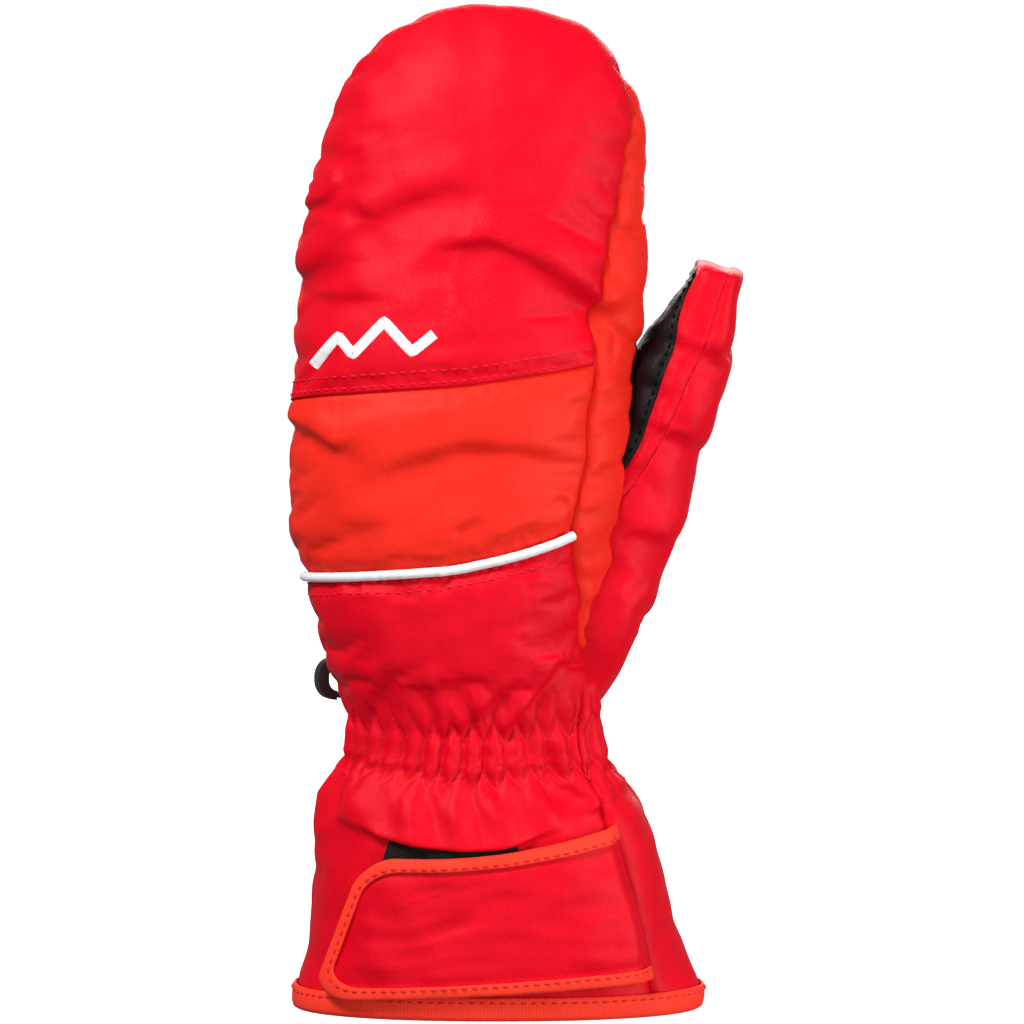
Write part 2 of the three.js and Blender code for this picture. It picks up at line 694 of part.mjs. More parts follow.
// The clip lies in its own XY plane with the webbing's pin on its Y axis and the hook along +X.
function clipPieces() {
  const { length, width, thick, arm, bar, slot, web } = CLIP;
  const extrude = (shape, depth) =>
    new THREE.ExtrudeGeometry(shape, { depth, bevelEnabled: false, curveSegments: 4 }).translate(0, 0, -depth / 2);
  const start = -bar / 2;
  const end = start + length;
  const half = width / 2;
  const outline = roundedRectangle(new THREE.Shape(), start, end, -half, half, 5.6);
  const eye = [start + bar, start + bar + slot];
  outline.holes.push(roundedRectangle(new THREE.Path(), eye[0], eye[1], -4.6, 4.6, 0.8));
  const hole = [eye[1] + web, end - arm - 0.8];
  outline.holes.push(roundedRectangle(new THREE.Path(), hole[0], hole[1], -half + arm, half - arm, 3));
  const gateFrom = hole[0] + 2;
  const gateTo = hole[1] - 2.5;
  const gap = new THREE.BoxGeometry(gateTo - gateFrom, arm + 2, thick + 2);
  gap.translate((gateFrom + gateTo) / 2, -half + arm / 2 - 0.5, 0);
  const hook = cut(extrude(outline, thick), gap);

  const gate = new THREE.Shape();
  const gateThick = 1.9;
  const low = -half + 0.4;
  roundedRectangle(gate, gateFrom + 0.4, gateTo - 0.4, low, low + gateThick, 0.9);

  const pin = new THREE.Vector3(gateFrom + 0.4 + gateThick / 2, low + gateThick / 2, 0);
  const gateMesh = piece("clip_gate", extrude(gate, thick - 0.6), "black", 0.45);
  const gateGroup = hinged(pin, [gateMesh]);
  const clip = new THREE.Group();
  clip.position.copy(CLIP_PIN);
  const x = new THREE.Vector3(-Math.cos(rad(CLIP_TURN)), -Math.sin(rad(CLIP_TURN)), 0);
  const y = new THREE.Vector3(0, 0, 1);
  clip.quaternion.setFromRotationMatrix(new THREE.Matrix4().makeBasis(x, y, x.clone().cross(y)));
  clip.add(piece("clip_hook", hook, "black", 0.45), gateGroup);
  return clip;
}

// A webbing loop round the clip's bar, with both its ends at the palm.
function clipTab() {
  const [radius, thick, width, tail] = [2.4, 0.9, 8, 9];
  const shape = new THREE.Shape();
  const out = radius + thick;
  shape.moveTo(-tail, -out);
  shape.lineTo(0, -out);
  shape.absarc(0, 0, out, -Math.PI / 2, Math.PI / 2, false);
  shape.lineTo(-tail, out);
  shape.lineTo(-tail, radius);
  shape.lineTo(0, radius);
  shape.absarc(0, 0, radius, Math.PI / 2, -Math.PI / 2, true);
  shape.lineTo(-tail, -radius);
  const loop = new THREE.ExtrudeGeometry(shape, { depth: width, bevelEnabled: false, curveSegments: 6 });
  loop.translate(0, 0, -width / 2);
  const mesh = piece("clip_tab", loop, "black");
  mesh.position.copy(CLIP_PIN);
  mesh.rotation.z = rad(180 + CLIP_TAB_TURN);
  return mesh;
}

// ---------------------------------------------------------------- assembly

const mitten = new THREE.Group();
mitten.add(...handPanels(), ...handLining(), hemBinding(), piping(), loopPatch(), clipTab());
mitten.add(thumbPieces(), closureFlap(), clipPieces());

const box = new THREE.Box3().setFromObject(mitten, true);
mitten.position.set(-(box.min.x + box.max.x) / 2, -(box.min.y + box.max.y) / 2, -box.min.z);

export default mitten;
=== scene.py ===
"""Ski mitten for the left hand, in Blender, on the frame of its CAD model.

Shapes are worked out in millimetres in the part's own axes (+Z fingertips, +X thumb side, -Y back of
the hand, z = 0 at the hem) and moved to the frame in metres when a mesh is made. The hand and the
thumb are bags: a superellipse section that changes with height, closed by a dome. A place on a bag is
a way out of its core and a height, so every layer, seam and stitch follows the same folds.
"""

import math

import bmesh
import bpy
import numpy as np
from mathutils import Matrix, Vector


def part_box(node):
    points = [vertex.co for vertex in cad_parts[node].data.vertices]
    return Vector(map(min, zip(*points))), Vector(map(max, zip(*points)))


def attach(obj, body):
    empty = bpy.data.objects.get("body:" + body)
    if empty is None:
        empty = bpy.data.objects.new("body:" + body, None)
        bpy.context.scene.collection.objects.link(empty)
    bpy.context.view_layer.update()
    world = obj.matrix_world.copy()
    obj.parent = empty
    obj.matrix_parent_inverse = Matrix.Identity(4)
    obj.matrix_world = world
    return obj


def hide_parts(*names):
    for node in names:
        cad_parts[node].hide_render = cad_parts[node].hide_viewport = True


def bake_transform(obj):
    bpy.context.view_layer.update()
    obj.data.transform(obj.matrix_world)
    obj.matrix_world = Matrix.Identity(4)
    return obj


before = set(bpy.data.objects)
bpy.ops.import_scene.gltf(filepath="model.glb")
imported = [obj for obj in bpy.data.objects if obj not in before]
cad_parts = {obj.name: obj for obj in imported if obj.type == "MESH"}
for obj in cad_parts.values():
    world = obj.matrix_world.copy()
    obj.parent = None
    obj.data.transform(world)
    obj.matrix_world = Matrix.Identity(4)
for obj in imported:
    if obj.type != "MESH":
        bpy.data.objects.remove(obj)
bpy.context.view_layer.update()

# The part's origin in the frame, from the hem binding, whose extents are known.
HEM_LOW = np.array([8 - 57.5 - 1.6, -32 - 1.6, 0.0])
OFFSET = np.array(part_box("hem_binding")[0]) * 1000 - HEM_LOW

# ---------------------------------------------------------------- dimensions in millimetres

# Height, left edge and right edge of the hand in front view.
HAND_OUTLINE = [
    [0, -49.6, 65.4], [6, -49.1, 65.0], [12, -47.7, 62.4], [23, -46.0, 58.8], [34, -45.6, 56.0],
    [46, -44.7, 53.4], [56, -43.6, 49.6], [62, -41.8, 45.2], [68, -38.4, 41.0], [74, -35.4, 38.8],
    [80, -34.4, 37.6], [86, -35.2, 37.4], [92, -38.0, 37.0], [100, -41.2, 36.8], [114, -45.0, 38.8],
    [126, -48.0, 41.0], [137, -51.0, 42.6], [148, -51.2, 43.2], [160, -51.8, 44.2], [171, -51.4, 45.2],
    [183, -50.2, 46.6], [194, -50.2, 47.4], [206, -49.0, 48.0], [217, -47.3, 48.6], [231, -45.0, 49.0],
    [257, -42.0, 52.2], [287, -40.5, 53.5],
]
# Height, half depth and the depth's centre.
HAND_DEPTH = [
    [0, 32, 0], [22, 31, 0], [46, 30, 0], [58, 28, 0], [68, 25.8, 0], [78, 25, 0], [88, 26.2, 0],
    [111, 29.5, 0], [136, 31, 0.3], [171, 31, 1.5], [206, 28.5, 4], [231, 25.5, 6], [257, 25.5, 8],
    [287, 25.5, 9.5],
]
# Where the walls end and the dome begins, the dome's top, and how square the section is.
HAND_SHOULDER = 231
HAND_TIP = 285.6
HAND_POWER = 2.25

# Thumb, in its own frame: height, half width, centre, half depth, centre. The width is along Y.
THUMB_STATIONS = [
    [-26, 12, -6, 7, 3], [-14, 19, -4.5, 10.5, 2], [5, 24.6, -2.6, 13.6, 2], [22, 24, -0.8, 12.9, 2.3],
    [36, 23.2, 0, 13.9, 2.1], [50, 22, 0, 12.9, 2.5], [64, 21, 0, 12.0, 2.4], [78, 20, 0, 12.0, 2.2],
    [86, 19, 0, 11.2, 1.6], [95, 18, 0, 9.5, 1.5], [104, 17, 0, 6.6, 0.8], [114, 17, 0, 6.6, 0.8],
]
THUMB_SHOULDER = 105
THUMB_TIP = 110.5
THUMB_POWER = 4.2
# Where the thumb's frame stands in the part's, and how far it leans from upright in degrees.
THUMB_ROOT = np.array([36.0, 13.0, 106.5])
THUMB_TILT = 19
# Degrees from the middle of the thumb's outer face to its two seams, by height.
THUMB_BACK_SEAM = [
    [-26, 140], [24, 140], [33, 124], [41, 104], [54, 86], [64, 79], [75, 76], [90, 70], [110, 68],
]
THUMB_GRIP_SEAM = [
    [-26, 152], [27, 152], [35, 138], [43, 122], [53, 109], [64, 107], [80, 109], [88, 115], [96, 128],
    [104, 144], [110, 152],
]
THUMB_FOOT = -22

# Seam of the back panels on the thumb side: height and x in front view.
RIGHT_SEAM = [
    [2, 52.5], [16, 50.0], [37, 44.8], [48, 41.6], [56, 38.6], [61, 36.6], [66, 34.0], [71, 31.6],
    [80, 30.4], [92, 33.0], [98, 34.4], [105, 33.0], [113, 32.2], [119, 32.0], [127, 30.6], [136, 29.4],
    [143, 29.8], [157, 33.6], [167, 34.0], [175, 35.2], [184, 36.8], [199, 37.4], [208, 37.6],
    [213, 39.4], [225, 42.0], [231, 43.2],
]
LEFT_SEAM_ANGLE = 91
TIP_SEAM_ANGLE = 90

# Angle round from the front to the seam between gusset and palm, by height.
PALM_SEAM = [[92, 88], [111, 94], [128, 98], [145, 102], [175, 108]]
PALM_SEAM_LEFT = [[92, 97], [145, 106], [175, 110]]
PALM_SEAM_TIP = 110
GUSSET_FOOT = 96.5

# How thick the shell is, how far a panel's edge rolls into its seam, how deep it may go in all, and
# half the gap between the panels at the piping.
SHELL = 0.9
THUMB_SHELL = 0.85
SEAM_ROLL = 1.9
SEAM_DEPTH = 1.75
GAP = 0.25
# Lowest edge of the cuff's panels, and the top of its palm side.
HEM_LINE = 1.6
WRIST_LINE = GUSSET_FOOT - 0.5
# How deep the padding's outer side is.
PADDING_DEPTH = 3.6

# Folds in front view: line of [x, z], width of the step down from its upper side, drop, reach above
# and below it, and whether it fades at its start and at its end.
BACK_FOLDS = [
    ([[-41, 249], [-35, 256.5], [-25, 263.5], [-16, 269.5]], 3.0, 1.7, 8, 7, (1, 1)),
    ([[-42, 246], [-30, 244], [-17, 249.5], [8, 257]], 5, 1.2, 13, 11, (1, 1)),
    ([[-45, 228.5], [-40, 230.5], [-36.4, 234.5], [-37.6, 239.5], [-42, 241]], 1.2, 2.2, 3, 4, (0, 1)),
    (
        [[-49, 208], [-39, 216], [-32, 222], [-21, 228], [-7, 233], [3, 233], [10, 227]],
        3.4, 4.0, 14, 12, (0, 1),
    ),
    ([[-34, 232], [-27, 224]], 1.6, 1.3, 4, 4, (1, 1)),
    ([[-19, 207], [-8, 216.5], [5, 218.5], [16, 214], [28, 207], [38, 200.5]], 2.8, 4.6, 11, 10, (1, 0)),
    ([[36.5, 202], [42, 195], [49, 188]], 1.6, 2.6, 6, 5, (0, 1)),
    ([[-50, 204.5], [-40, 203], [-18, 202.5]], 2.4, 1.5, 6, 6, (0, 1)),
    ([[27, 253], [34, 247.5], [46, 246]], 2.0, 1.1, 5, 5, (1, 0)),
    ([[28, 233], [36, 226], [44, 223]], 1.8, 1.3, 5, 4, (1, 0)),
    ([[-52, 168], [-44.5, 165.5], [-37, 160.5], [-28, 166]], 1.8, 2.6, 7, 6, (0, 1)),
    ([[-30, 151], [-18, 157], [-3, 161.5], [15, 161], [34, 155]], 2.6, 3.6, 11, 9, (1, 1)),
    ([[-6, 129], [-3.5, 139], [6, 144]], 1.6, 1.8, 5, 4, (0, 1)),
    ([[5, 134], [12.5, 138], [22, 142.5]], 1.6, 1.9, 5, 4, (1, 1)),
    ([[24, 149], [27, 146], [29.5, 138]], 1.3, 2.0, 4, 4, (1, 0)),
    ([[-42, 143], [-30, 139], [-19, 142]], 2.6, 1.4, 6, 6, (1, 1)),
    ([[12, 83], [20, 93], [29, 107]], 1.4, 2.6, 5, 5, (0, 1)),
    ([[-2, 83], [5, 88], [14, 97]], 1.4, 2.0, 5, 4, (0, 1)),
    ([[-28, 86], [-25, 94], [-24, 102]], 1.6, 1.4, 5, 4, (0, 1)),
    ([[29, 101], [32, 113], [41, 127]], 1.8, 2.2, 5, 5, (0, 1)),
    ([[23.5, 75], [27, 65.5], [36, 60]], 1.5, 2.4, 5, 5, (0, 1)),
    ([[-33, 68], [-37, 58], [-45, 49]], 2.0, 2.2, 7, 6, (0, 1)),
    ([[-40, 46], [-42, 36], [-42, 22]], 2.6, 1.5, 6, 6, (1, 1)),
]
# Folds of the palm side, in the same axes.
PALM_FOLDS = [
    ([[-38, 240], [-10, 231], [22, 238]], 3.0, 3.0, 10, 8, (1, 1)),
    ([[-47, 214], [-16, 204], [14, 211], [38, 205]], 2.6, 3.6, 10, 8, (0, 1)),
    ([[-42, 186], [-12, 179], [16, 185]], 3.0, 2.2, 8, 7, (1, 1)),
    ([[26, 192], [12, 168], [6, 144]], 3.4, 2.6, 9, 8, (1, 1)),
    ([[-48, 162], [-34, 148], [-26, 128]], 2.6, 2.0, 7, 7, (0, 1)),
    ([[-30, 263], [-6, 257], [22, 263]], 3.0, 1.9, 8, 7, (1, 1)),
    ([[-24, 90], [-17, 104], [-22, 120]], 2.0, 2.0, 6, 6, (0, 1)),
    ([[4, 88], [2, 102], [5, 118]], 2.0, 2.0, 6, 6, (0, 1)),
    ([[-26, 68], [-33, 48]], 2.0, 2.0, 6, 6, (0, 1)),
    ([[-6, 68], [-7, 44]], 2.0, 2.0, 6, 6, (0, 1)),
    ([[14, 68], [21, 44]], 2.0, 2.0, 6, 6, (0, 1)),
    ([[34, 64], [43, 40]], 2.0, 2.0, 6, 6, (0, 1)),
]

# Folds of the thumb's outer face, in the thumb's frame: line and drop.
THUMB_FOLDS = [
    ([[-24, 61], [-8, 60], [6, 63], [20, 59]], 1.7),
    ([[-22, 86], [-6, 91], [4, 88]], 0.8),
    ([[-24, 32], [-10, 36], [4, 33]], 1.1),
    ([[12, 20], [2, 14], [-8, 16]], 0.9),
]
FOLD_GAIN = 1.65

# The wrist's narrowest height, how square it is there, and how far apart its gathers are.
WRIST_HEIGHT = 78.0
WRIST_POWER = 2.2
WRIST_PITCH = 6.1
# Height of each row of the elastic at the front and what the sides add, and half the zigzag's height.
WRIST_TOP = (80.2, 3.4)
WRIST_LOW = (67.6, 3.8)
ZIGZAG = 3.0
# Gathers: height of the puffs on the elastic, of the small folds that leave it, and of the broad folds
# above and below, and how far the elastic draws the cloth in.
PUFF = 2.8
SMALL_FOLD = 2.2
BROAD_ABOVE = 2.2
BROAD_BELOW = 4.4
DRAWN_IN = 1.2
# How far the cuff puffs out over the loop patch.
SHELF = 4.4
# The elastic's heights, and how deep its two sides are under the skin.
ELASTIC_BAND = dict(low=68, high=84, outer=2.15, inner=2.75)
PIPING_RADIUS = 1.35

# Closure flap in front view: x of its free and sewn ends and z of its edges.
FLAP_BOTTOM = dict(free=-41.5, sewn=50.6, free_z=4.5, sewn_z=10.5)
FLAP_TOP = dict(free=-26.5, sewn=40.0, free_z=46.0, sewn_z=54.5)
FLAP_SAG = 3.0
FLAP_CORNER = (0.12, 0.2)
FLAP_SIZE = (85.0, 40.0)
# Inner and outer side of each layer, out of the hand's skin.
LOOP_PATCH = (0.4, 1.3)
HOOK_PATCH = (2.0, 2.5)
FLAP_BACKING = (2.8, 3.4)
FLAP_PANEL = (3.8, 4.6)
FLAP_MARGIN = 1.2
FLAP_TAPE = dict(low=2.0, high=5.6, width=3.7, wall=0.55)

# Stitches: how far apart, how much of that the thread shows, and how high its middle rises.
STITCH_PITCH = 2.9
STITCH_SHARE = 0.76
STITCH_RISE = 0.16

# A ridge line in front view, printed on the back as a mark of no maker.
MARK = [[-44, 183.6], [-36.5, 192.0], [-32, 187.2], [-23.5, 196.4], [-15.5, 188.2], [-9.5, 193.2]]
MARK_WIDTH = 2.9
# The mark's section: place across it, from -1 to 1, and how far out of the skin.
MARK_SECTION = ((-1, 0.02), (-0.97, 0.07), (-0.3, 0.08), (0.3, 0.08), (0.97, 0.07), (1, 0.02))

# Cloth simulation: pressure, how much the cloth grows, frames, and millimetres in one of its units.
CLOTH_PRESSURE = 3.0
CLOTH_GROWTH = 0.03
CLOTH_FRAMES = 20
CLOTH_UNIT = 100

rng = np.random.default_rng(11)

# ---------------------------------------------------------------- numbers


def hermite(rows, height, column):
    """Cubic interpolation through rows whose first number is the height."""
    table = np.asarray(rows, float)
    x, y = table[:, 0], table[:, column]
    h = np.clip(height, x[0], x[-1])
    k = np.clip(np.searchsorted(x, h, side="right") - 1, 0, len(x) - 2)
    n = np.arange(len(x))
    before, after = np.maximum(n - 1, 0), np.minimum(n + 1, len(x) - 1)
    slope = (y[after] - y[before]) / (x[after] - x[before])
    span = x[k + 1] - x[k]
    t = (h - x[k]) / span
    return (
        (2 * t**3 - 3 * t**2 + 1) * y[k]
        + (t**3 - 2 * t**2 + t) * span * slope[k]
        + (3 * t**2 - 2 * t**3) * y[k + 1]
        + (t**3 - t**2) * span * slope[k + 1]
    )


def smoothstep(x, low, high):
    t = np.clip((x - low) / (high - low), 0, 1)
    return t * t * (3 - 2 * t)


def lerp(a, b, t):
    return a + (b - a) * t


def unit(vectors):
    return vectors / np.linalg.norm(vectors, axis=-1, keepdims=True)


def run_along(points):
    """Distance along a line of points, from its first."""
    return np.concatenate([[0], np.cumsum(np.linalg.norm(np.diff(points, axis=0), axis=1))])


def bell(x):
    return np.exp(-(x**2))


def lumps(points, wavelength, seed):
    """Smooth noise of about unit size, from waves in many directions."""
    source = np.random.default_rng(seed)
    total = np.zeros(points.shape[:-1])
    for _ in range(9):
        way = source.normal(size=3)
        way /= np.linalg.norm(way)
        k = 2 * math.pi / (wavelength * source.uniform(0.7, 1.5))
        total += np.sin(points @ way * k + source.uniform(0, 2 * math.pi))
    return total / 3


def fold(x, z, line, width, drop, above, below, fades):
    """Height of a fold: cloth swells on a line's left side and drops across it, easing off either way."""
    nearest = np.full(x.shape, 1e9)
    signed, along, past = np.zeros(x.shape), np.zeros(x.shape), np.zeros(x.shape)
    last = len(line) - 2
    for k, ((ax, az), (bx, bz)) in enumerate(zip(line, line[1:])):
        dx, dz = bx - ax, bz - az
        length = math.hypot(dx, dz)
        t = ((x - ax) * dx + (z - az) * dz) / length**2
        inside = np.clip(t, 0, 1)
        d = np.hypot(x - ax - inside * dx, z - az - inside * dz)
        side = (dx * (z - az) - dz * (x - ax)) / length
        over = np.maximum(-t if k == 0 else 0, t - 1 if k == last else 0)
        s = np.where(over > 0, side, np.sign(side) * d)
        closer = d < nearest
        nearest = np.where(closer, d, nearest)
        signed = np.where(closer, s, signed)
        along = np.where(closer, (k + inside) / (last + 1), along)
        past = np.where(closer, np.maximum(over, 0) * length, past)
    fade = bell(past / 4)
    if fades[0]:
        fade = fade * smoothstep(along, 0, 0.35)
    if fades[1]:
        fade = fade * smoothstep(1 - along, 0, 0.35)
    reach = np.where(signed > 0, above, below)
    size = np.abs(signed)
    swell = fade * drop / 2 * np.sign(signed) * np.exp(-size / reach)
    return swell * (1 - np.exp(-size / width)) * FOLD_GAIN


# ---------------------------------------------------------------- bags


def aim(out, over, side=-1):
    """A way out of a core: `out` degrees from the front, or from the back where side is 1."""
    a, b = np.broadcast_arrays(np.radians(out), np.radians(over))
    return np.stack([np.sin(a) * np.cos(b), side * np.cos(a), np.sin(a) * np.sin(b)], -1)


def to_square(x, z):
    """Column (-1 to 1) and row (0 to 1) of a dome point, whose way has these shares."""
    r = 2 * math.sqrt(2)
    a = np.sqrt(np.maximum(2 + x**2 - z**2 + r * x, 0)) - np.sqrt(np.maximum(2 + x**2 - z**2 - r * x, 0))
    u = np.sqrt(np.maximum(2 - x**2 + z**2 + r * z, 0)) - np.sqrt(np.maximum(2 - x**2 + z**2 - r * z, 0))
    return a / 2, u / 2


def dome_way(across, up):
    """The opposite of to_square, as degrees over the dome and how far out of its middle."""
    x = across * np.sqrt(1 - up**2 / 2)
    z = up * np.sqrt(1 - across**2 / 2)
    return np.degrees(np.arctan2(z, x)), np.hypot(x, z)


class Bag:
    """A bag's shape, with the folds and the simulated cloth that its skin takes."""

    def __init__(self, section, shoulder, tip, power, relief):
        self.section = section
        self.shoulder = shoulder
        self.tip = tip
        self.power = power
        self.relief = relief
        self.drift = None
        self.wall_rows = 0

    def smooth(self, way, height, inset):
        """The bag without its folds, `inset` below its surface."""
        rise = np.maximum(way[..., 2], 0)
        p = self.power
        size = (np.abs(way[..., 0]) ** p + np.abs(way[..., 1]) ** p + rise**p) ** (1 / p)
        domed = rise > 1e-9
        share = np.where(domed, rise / size, 0)
        dome = self.tip - self.shoulder
        level = np.where(domed, self.shoulder + share * dome, height)
        half_width, x, half_depth, y = self.section(level)
        return np.stack(
            [
                x + way[..., 0] / size * (half_width - inset),
                y + way[..., 1] / size * (half_depth - inset),
                np.where(domed, self.shoulder + share * (dome - inset), height),
            ],
            -1,
        )

    def place(self, way, height, lift=0.0):
        """A point `lift` above the folded skin."""
        height = np.broadcast_to(np.asarray(height, float), way.shape[:-1])
        base = self.smooth(way, height, 0.0)
        point = self.smooth(way, height, -(lift + self.relief(base, way)))
        point[..., 2] -= self.droop(base, way)
        if self.drift is not None:
            point = point + self.sample(way, height)
        return self.world(point)

    def holds(self, point, level, inset):
        """True where a point in the bag's own axes is more than `inset` inside its section."""
        half_width, x, half_depth, y = self.section(level)
        across = np.abs(point[..., 0] - x) / (half_width - inset)
        deep = np.abs(point[..., 1] - y) / (half_depth - inset)
        return across**self.power + deep**self.power < 1

    def droop(self, base, way):
        """How far the fold over the loop patch hangs down."""
        return np.where(way[..., 1] < 0, 0.4 * shelf(base[..., 0], base[..., 2]), 0)

    def world(self, point):
        return point

    def sample(self, way, height):
        """The cloth simulation's movement at a place."""
        front, back = self.drift
        rows, columns = front.shape[0] - 1, front.shape[1] - 1
        length = np.linalg.norm(way, axis=-1)
        side = way[..., 1] > 0
        rise = np.maximum(way[..., 2], 0)
        out = np.degrees(np.arccos(np.clip(np.abs(way[..., 1]) / length, 0, 1)))
        over = np.arctan2(rise, way[..., 0])
        reach = np.clip(out / 90, 0, 1)
        a, u = to_square(reach * np.cos(over), reach * np.sin(over))
        domed = rise > 1e-9
        across = np.where(domed, a, np.sign(way[..., 0]) * reach)
        wall = self.wall_rows
        row = np.where(domed, wall + u * (rows - wall), np.clip(height / self.shoulder, 0, 1) * wall)
        column = (across + 1) / 2 * columns
        i = np.clip(column.astype(int), 0, columns - 1)
        j = np.clip(row.astype(int), 0, rows - 1)
        s, t = (column - i)[..., None], (row - j)[..., None]
        found = []
        for grid in (front, back):
            low = grid[j, i] * (1 - s) + grid[j, i + 1] * s
            high = grid[j + 1, i] * (1 - s) + grid[j + 1, i + 1] * s
            found.append(low * (1 - t) + high * t)
        return np.where(side[..., None], found[1], found[0])


def hand_section(level):
    """Half width, centre, half depth and centre at a level."""
    left, right = hermite(HAND_OUTLINE, level, 1), hermite(HAND_OUTLINE, level, 2)
    half_depth, y = hermite(HAND_DEPTH, level, 1), hermite(HAND_DEPTH, level, 2)
    return (right - left) / 2, (right + left) / 2, half_depth, y


def thumb_section(level):
    return tuple(hermite(THUMB_STATIONS, level, c) for c in (1, 2, 3, 4))


def wrist_run():
    """Distance round the wrist in mm, by the angle of the way from the front, from -180 to 180."""
    angles = np.linspace(-180, 180, 721)
    half_width, _, half_depth, _ = (float(v) for v in hand_section(WRIST_HEIGHT))
    way = np.stack([np.sin(np.radians(angles)), -np.cos(np.radians(angles))], -1)
    size = (np.abs(way) ** WRIST_POWER).sum(-1) ** (1 / WRIST_POWER)
    run = run_along(way / size[:, None] * [half_width, half_depth])
    return angles, run - run[len(angles) // 2]


RUN_ANGLES, RUN_LENGTHS = wrist_run()


def gather_run(way):
    """Distance round the wrist, made slightly uneven as hand-fed elastic is."""
    angle = np.degrees(np.arctan2(way[..., 0], -way[..., 1]))
    run = np.interp(angle, RUN_ANGLES, RUN_LENGTHS)
    return run + 0.8 * np.sin(run / 11.0 + 0.7) + 0.3 * np.sin(run / 4.7 + 2.0)


def gather_rows(way):
    """Heights of the elastic's two sewn rows."""
    lean = way[..., 0] ** 2
    return WRIST_TOP[0] + WRIST_TOP[1] * lean, WRIST_LOW[0] + WRIST_LOW[1] * lean


def gathers(base, way):
    """The elastic's gathering: leaf-shaped puffs between two zigzag rows, and folds that fan out."""
    run = gather_run(way)
    z = base[..., 2]
    top, low = gather_rows(way)
    half = WRIST_PITCH / 2
    count = np.round(run / WRIST_PITCH)
    d = np.abs(run - count * WRIST_PITCH)
    beyond = np.maximum((z - top) / (2 * ZIGZAG) + 0.5, (low - z) / (2 * ZIGZAG) + 0.5)
    share = np.clip(beyond, 0, 1)
    leaf_width, fold_width = (1 - share) * half, share * half
    leaf = np.sqrt(1 - share) * (1 - (d / np.maximum(leaf_width, 1e-6)) ** 2)
    ridge = np.sqrt(share) * (1 - ((half - d) / np.maximum(fold_width, 1e-6)) ** 2)
    out = np.maximum(np.maximum(z - top, low - z), 0)
    above = z > (top + low) / 2
    merge = smoothstep(out, 1, 11)
    broad = 0.5 + 0.5 * np.cos(2 * math.pi * run / (2 * WRIST_PITCH) + 1.4 * np.sin(run / 12.0) + 0.05 * z)
    vary = 0.75 + 0.25 * np.sin(5.3 * count + 1.0)
    fan = SMALL_FOLD * vary * np.maximum(ridge, 0) * np.exp(-out / 8.0) * (1 - 0.7 * merge)
    spread = np.where(above, BROAD_ABOVE, BROAD_BELOW) * broad * merge
    fan = fan + spread * np.exp(-out / np.where(above, 12.0, 17.0))
    puffs = np.where(d < leaf_width, PUFF * vary * leaf, fan)
    return puffs - DRAWN_IN * np.exp(-out / 5.0)


def brow(x):
    """Height of the fold of cuff that hangs over the loop patch."""
    return 48.2 + np.where(x < 1, 0.0056, 0.0095) * (x - 1) ** 2


def shelf(x, z):
    """How far the cuff puffs out above that fold."""
    over = z - brow(x)
    middle = smoothstep(x, -31, -23) * (1 - smoothstep(x, 8, 26))
    return np.where(over > 0, np.exp(-over / 9.0) * (1 - np.exp(-over / 0.8)), 0) * SHELF * middle


def hand_relief(base, way):
    """How far the hand's folds, gathers and lumps lift its skin."""
    x, z = base[..., 0], base[..., 2]
    facing = -unit(way)[..., 1]
    front = smoothstep(facing, -0.3, 0.12)
    back = smoothstep(-facing, -0.1, 0.3)
    total = gathers(base, way) * smoothstep(z, 30, 60) * (1 - smoothstep(z, 105, 130))
    for wrinkle in BACK_FOLDS:
        total = total + front * fold(x, z, *wrinkle)
    for wrinkle in PALM_FOLDS:
        total = total + back * fold(x, z, *wrinkle)
    # The cuff puffs out over the top of the loop patch, and lies flat under the flap.
    total = total + front * shelf(x, z)
    edge = brow(x)
    flap = front * smoothstep(x, -44, -36) * (1 - smoothstep(z, edge - 3, edge + 1.5))
    total = total * (1 - 0.85 * flap)
    total = total + 0.55 * lumps(base, 34, 3) + 0.22 * lumps(base, 13, 4)
    return total * smoothstep(z, 1.0, 9.0)


def thumb_relief(base, way):
    """How far the thumb's folds and lumps lift its skin, and its tip's outer side swells."""
    x, y, z = base[..., 0], base[..., 1], base[..., 2]
    outer = smoothstep(-unit(way)[..., 1], -0.2, 0.6)
    total = 0.45 * lumps(base, 30, 8) + 0.2 * lumps(base, 12, 9)
    total = total + 1.1 * smoothstep(z, 80, 110) * smoothstep(-y, -1, 5)
    for line, drop in THUMB_FOLDS:
        total = total + outer * fold(x, z, line, 2.4, drop, 10, 8, (0, 1))
    return total


class ThumbBag(Bag):
    """The thumb, turned and moved into the part's axes."""

    tilt = Matrix.Rotation(math.radians(THUMB_TILT), 3, "Y") @ Matrix.Rotation(math.radians(90), 3, "Z")

    def droop(self, base, way):
        return 0

    def world(self, point):
        return point @ np.array(self.tilt).T + THUMB_ROOT


hand = Bag(hand_section, HAND_SHOULDER, HAND_TIP, HAND_POWER, hand_relief)
thumb = ThumbBag(thumb_section, THUMB_SHOULDER, THUMB_TIP, THUMB_POWER, thumb_relief)


def front_way(x, height):
    """The way to the front surface at this x and height."""
    half_width, centre, _, _ = hand_section(height)
    share = np.clip((x - centre) / half_width, -0.999, 0.999)
    depth = (1 - np.abs(share) ** HAND_POWER) ** (1 / HAND_POWER)
    return np.stack([share, -depth, 0 * share], -1)


def front_angle(x, height):
    """Degrees round from the front at which the hand's surface has this x at this height."""
    share, depth, _ = front_way(x, height)
    return float(np.degrees(np.arctan2(abs(share), -depth)))


RIGHT_SEAM_ROWS = [[height, front_angle(x, height)] for height, x in RIGHT_SEAM]


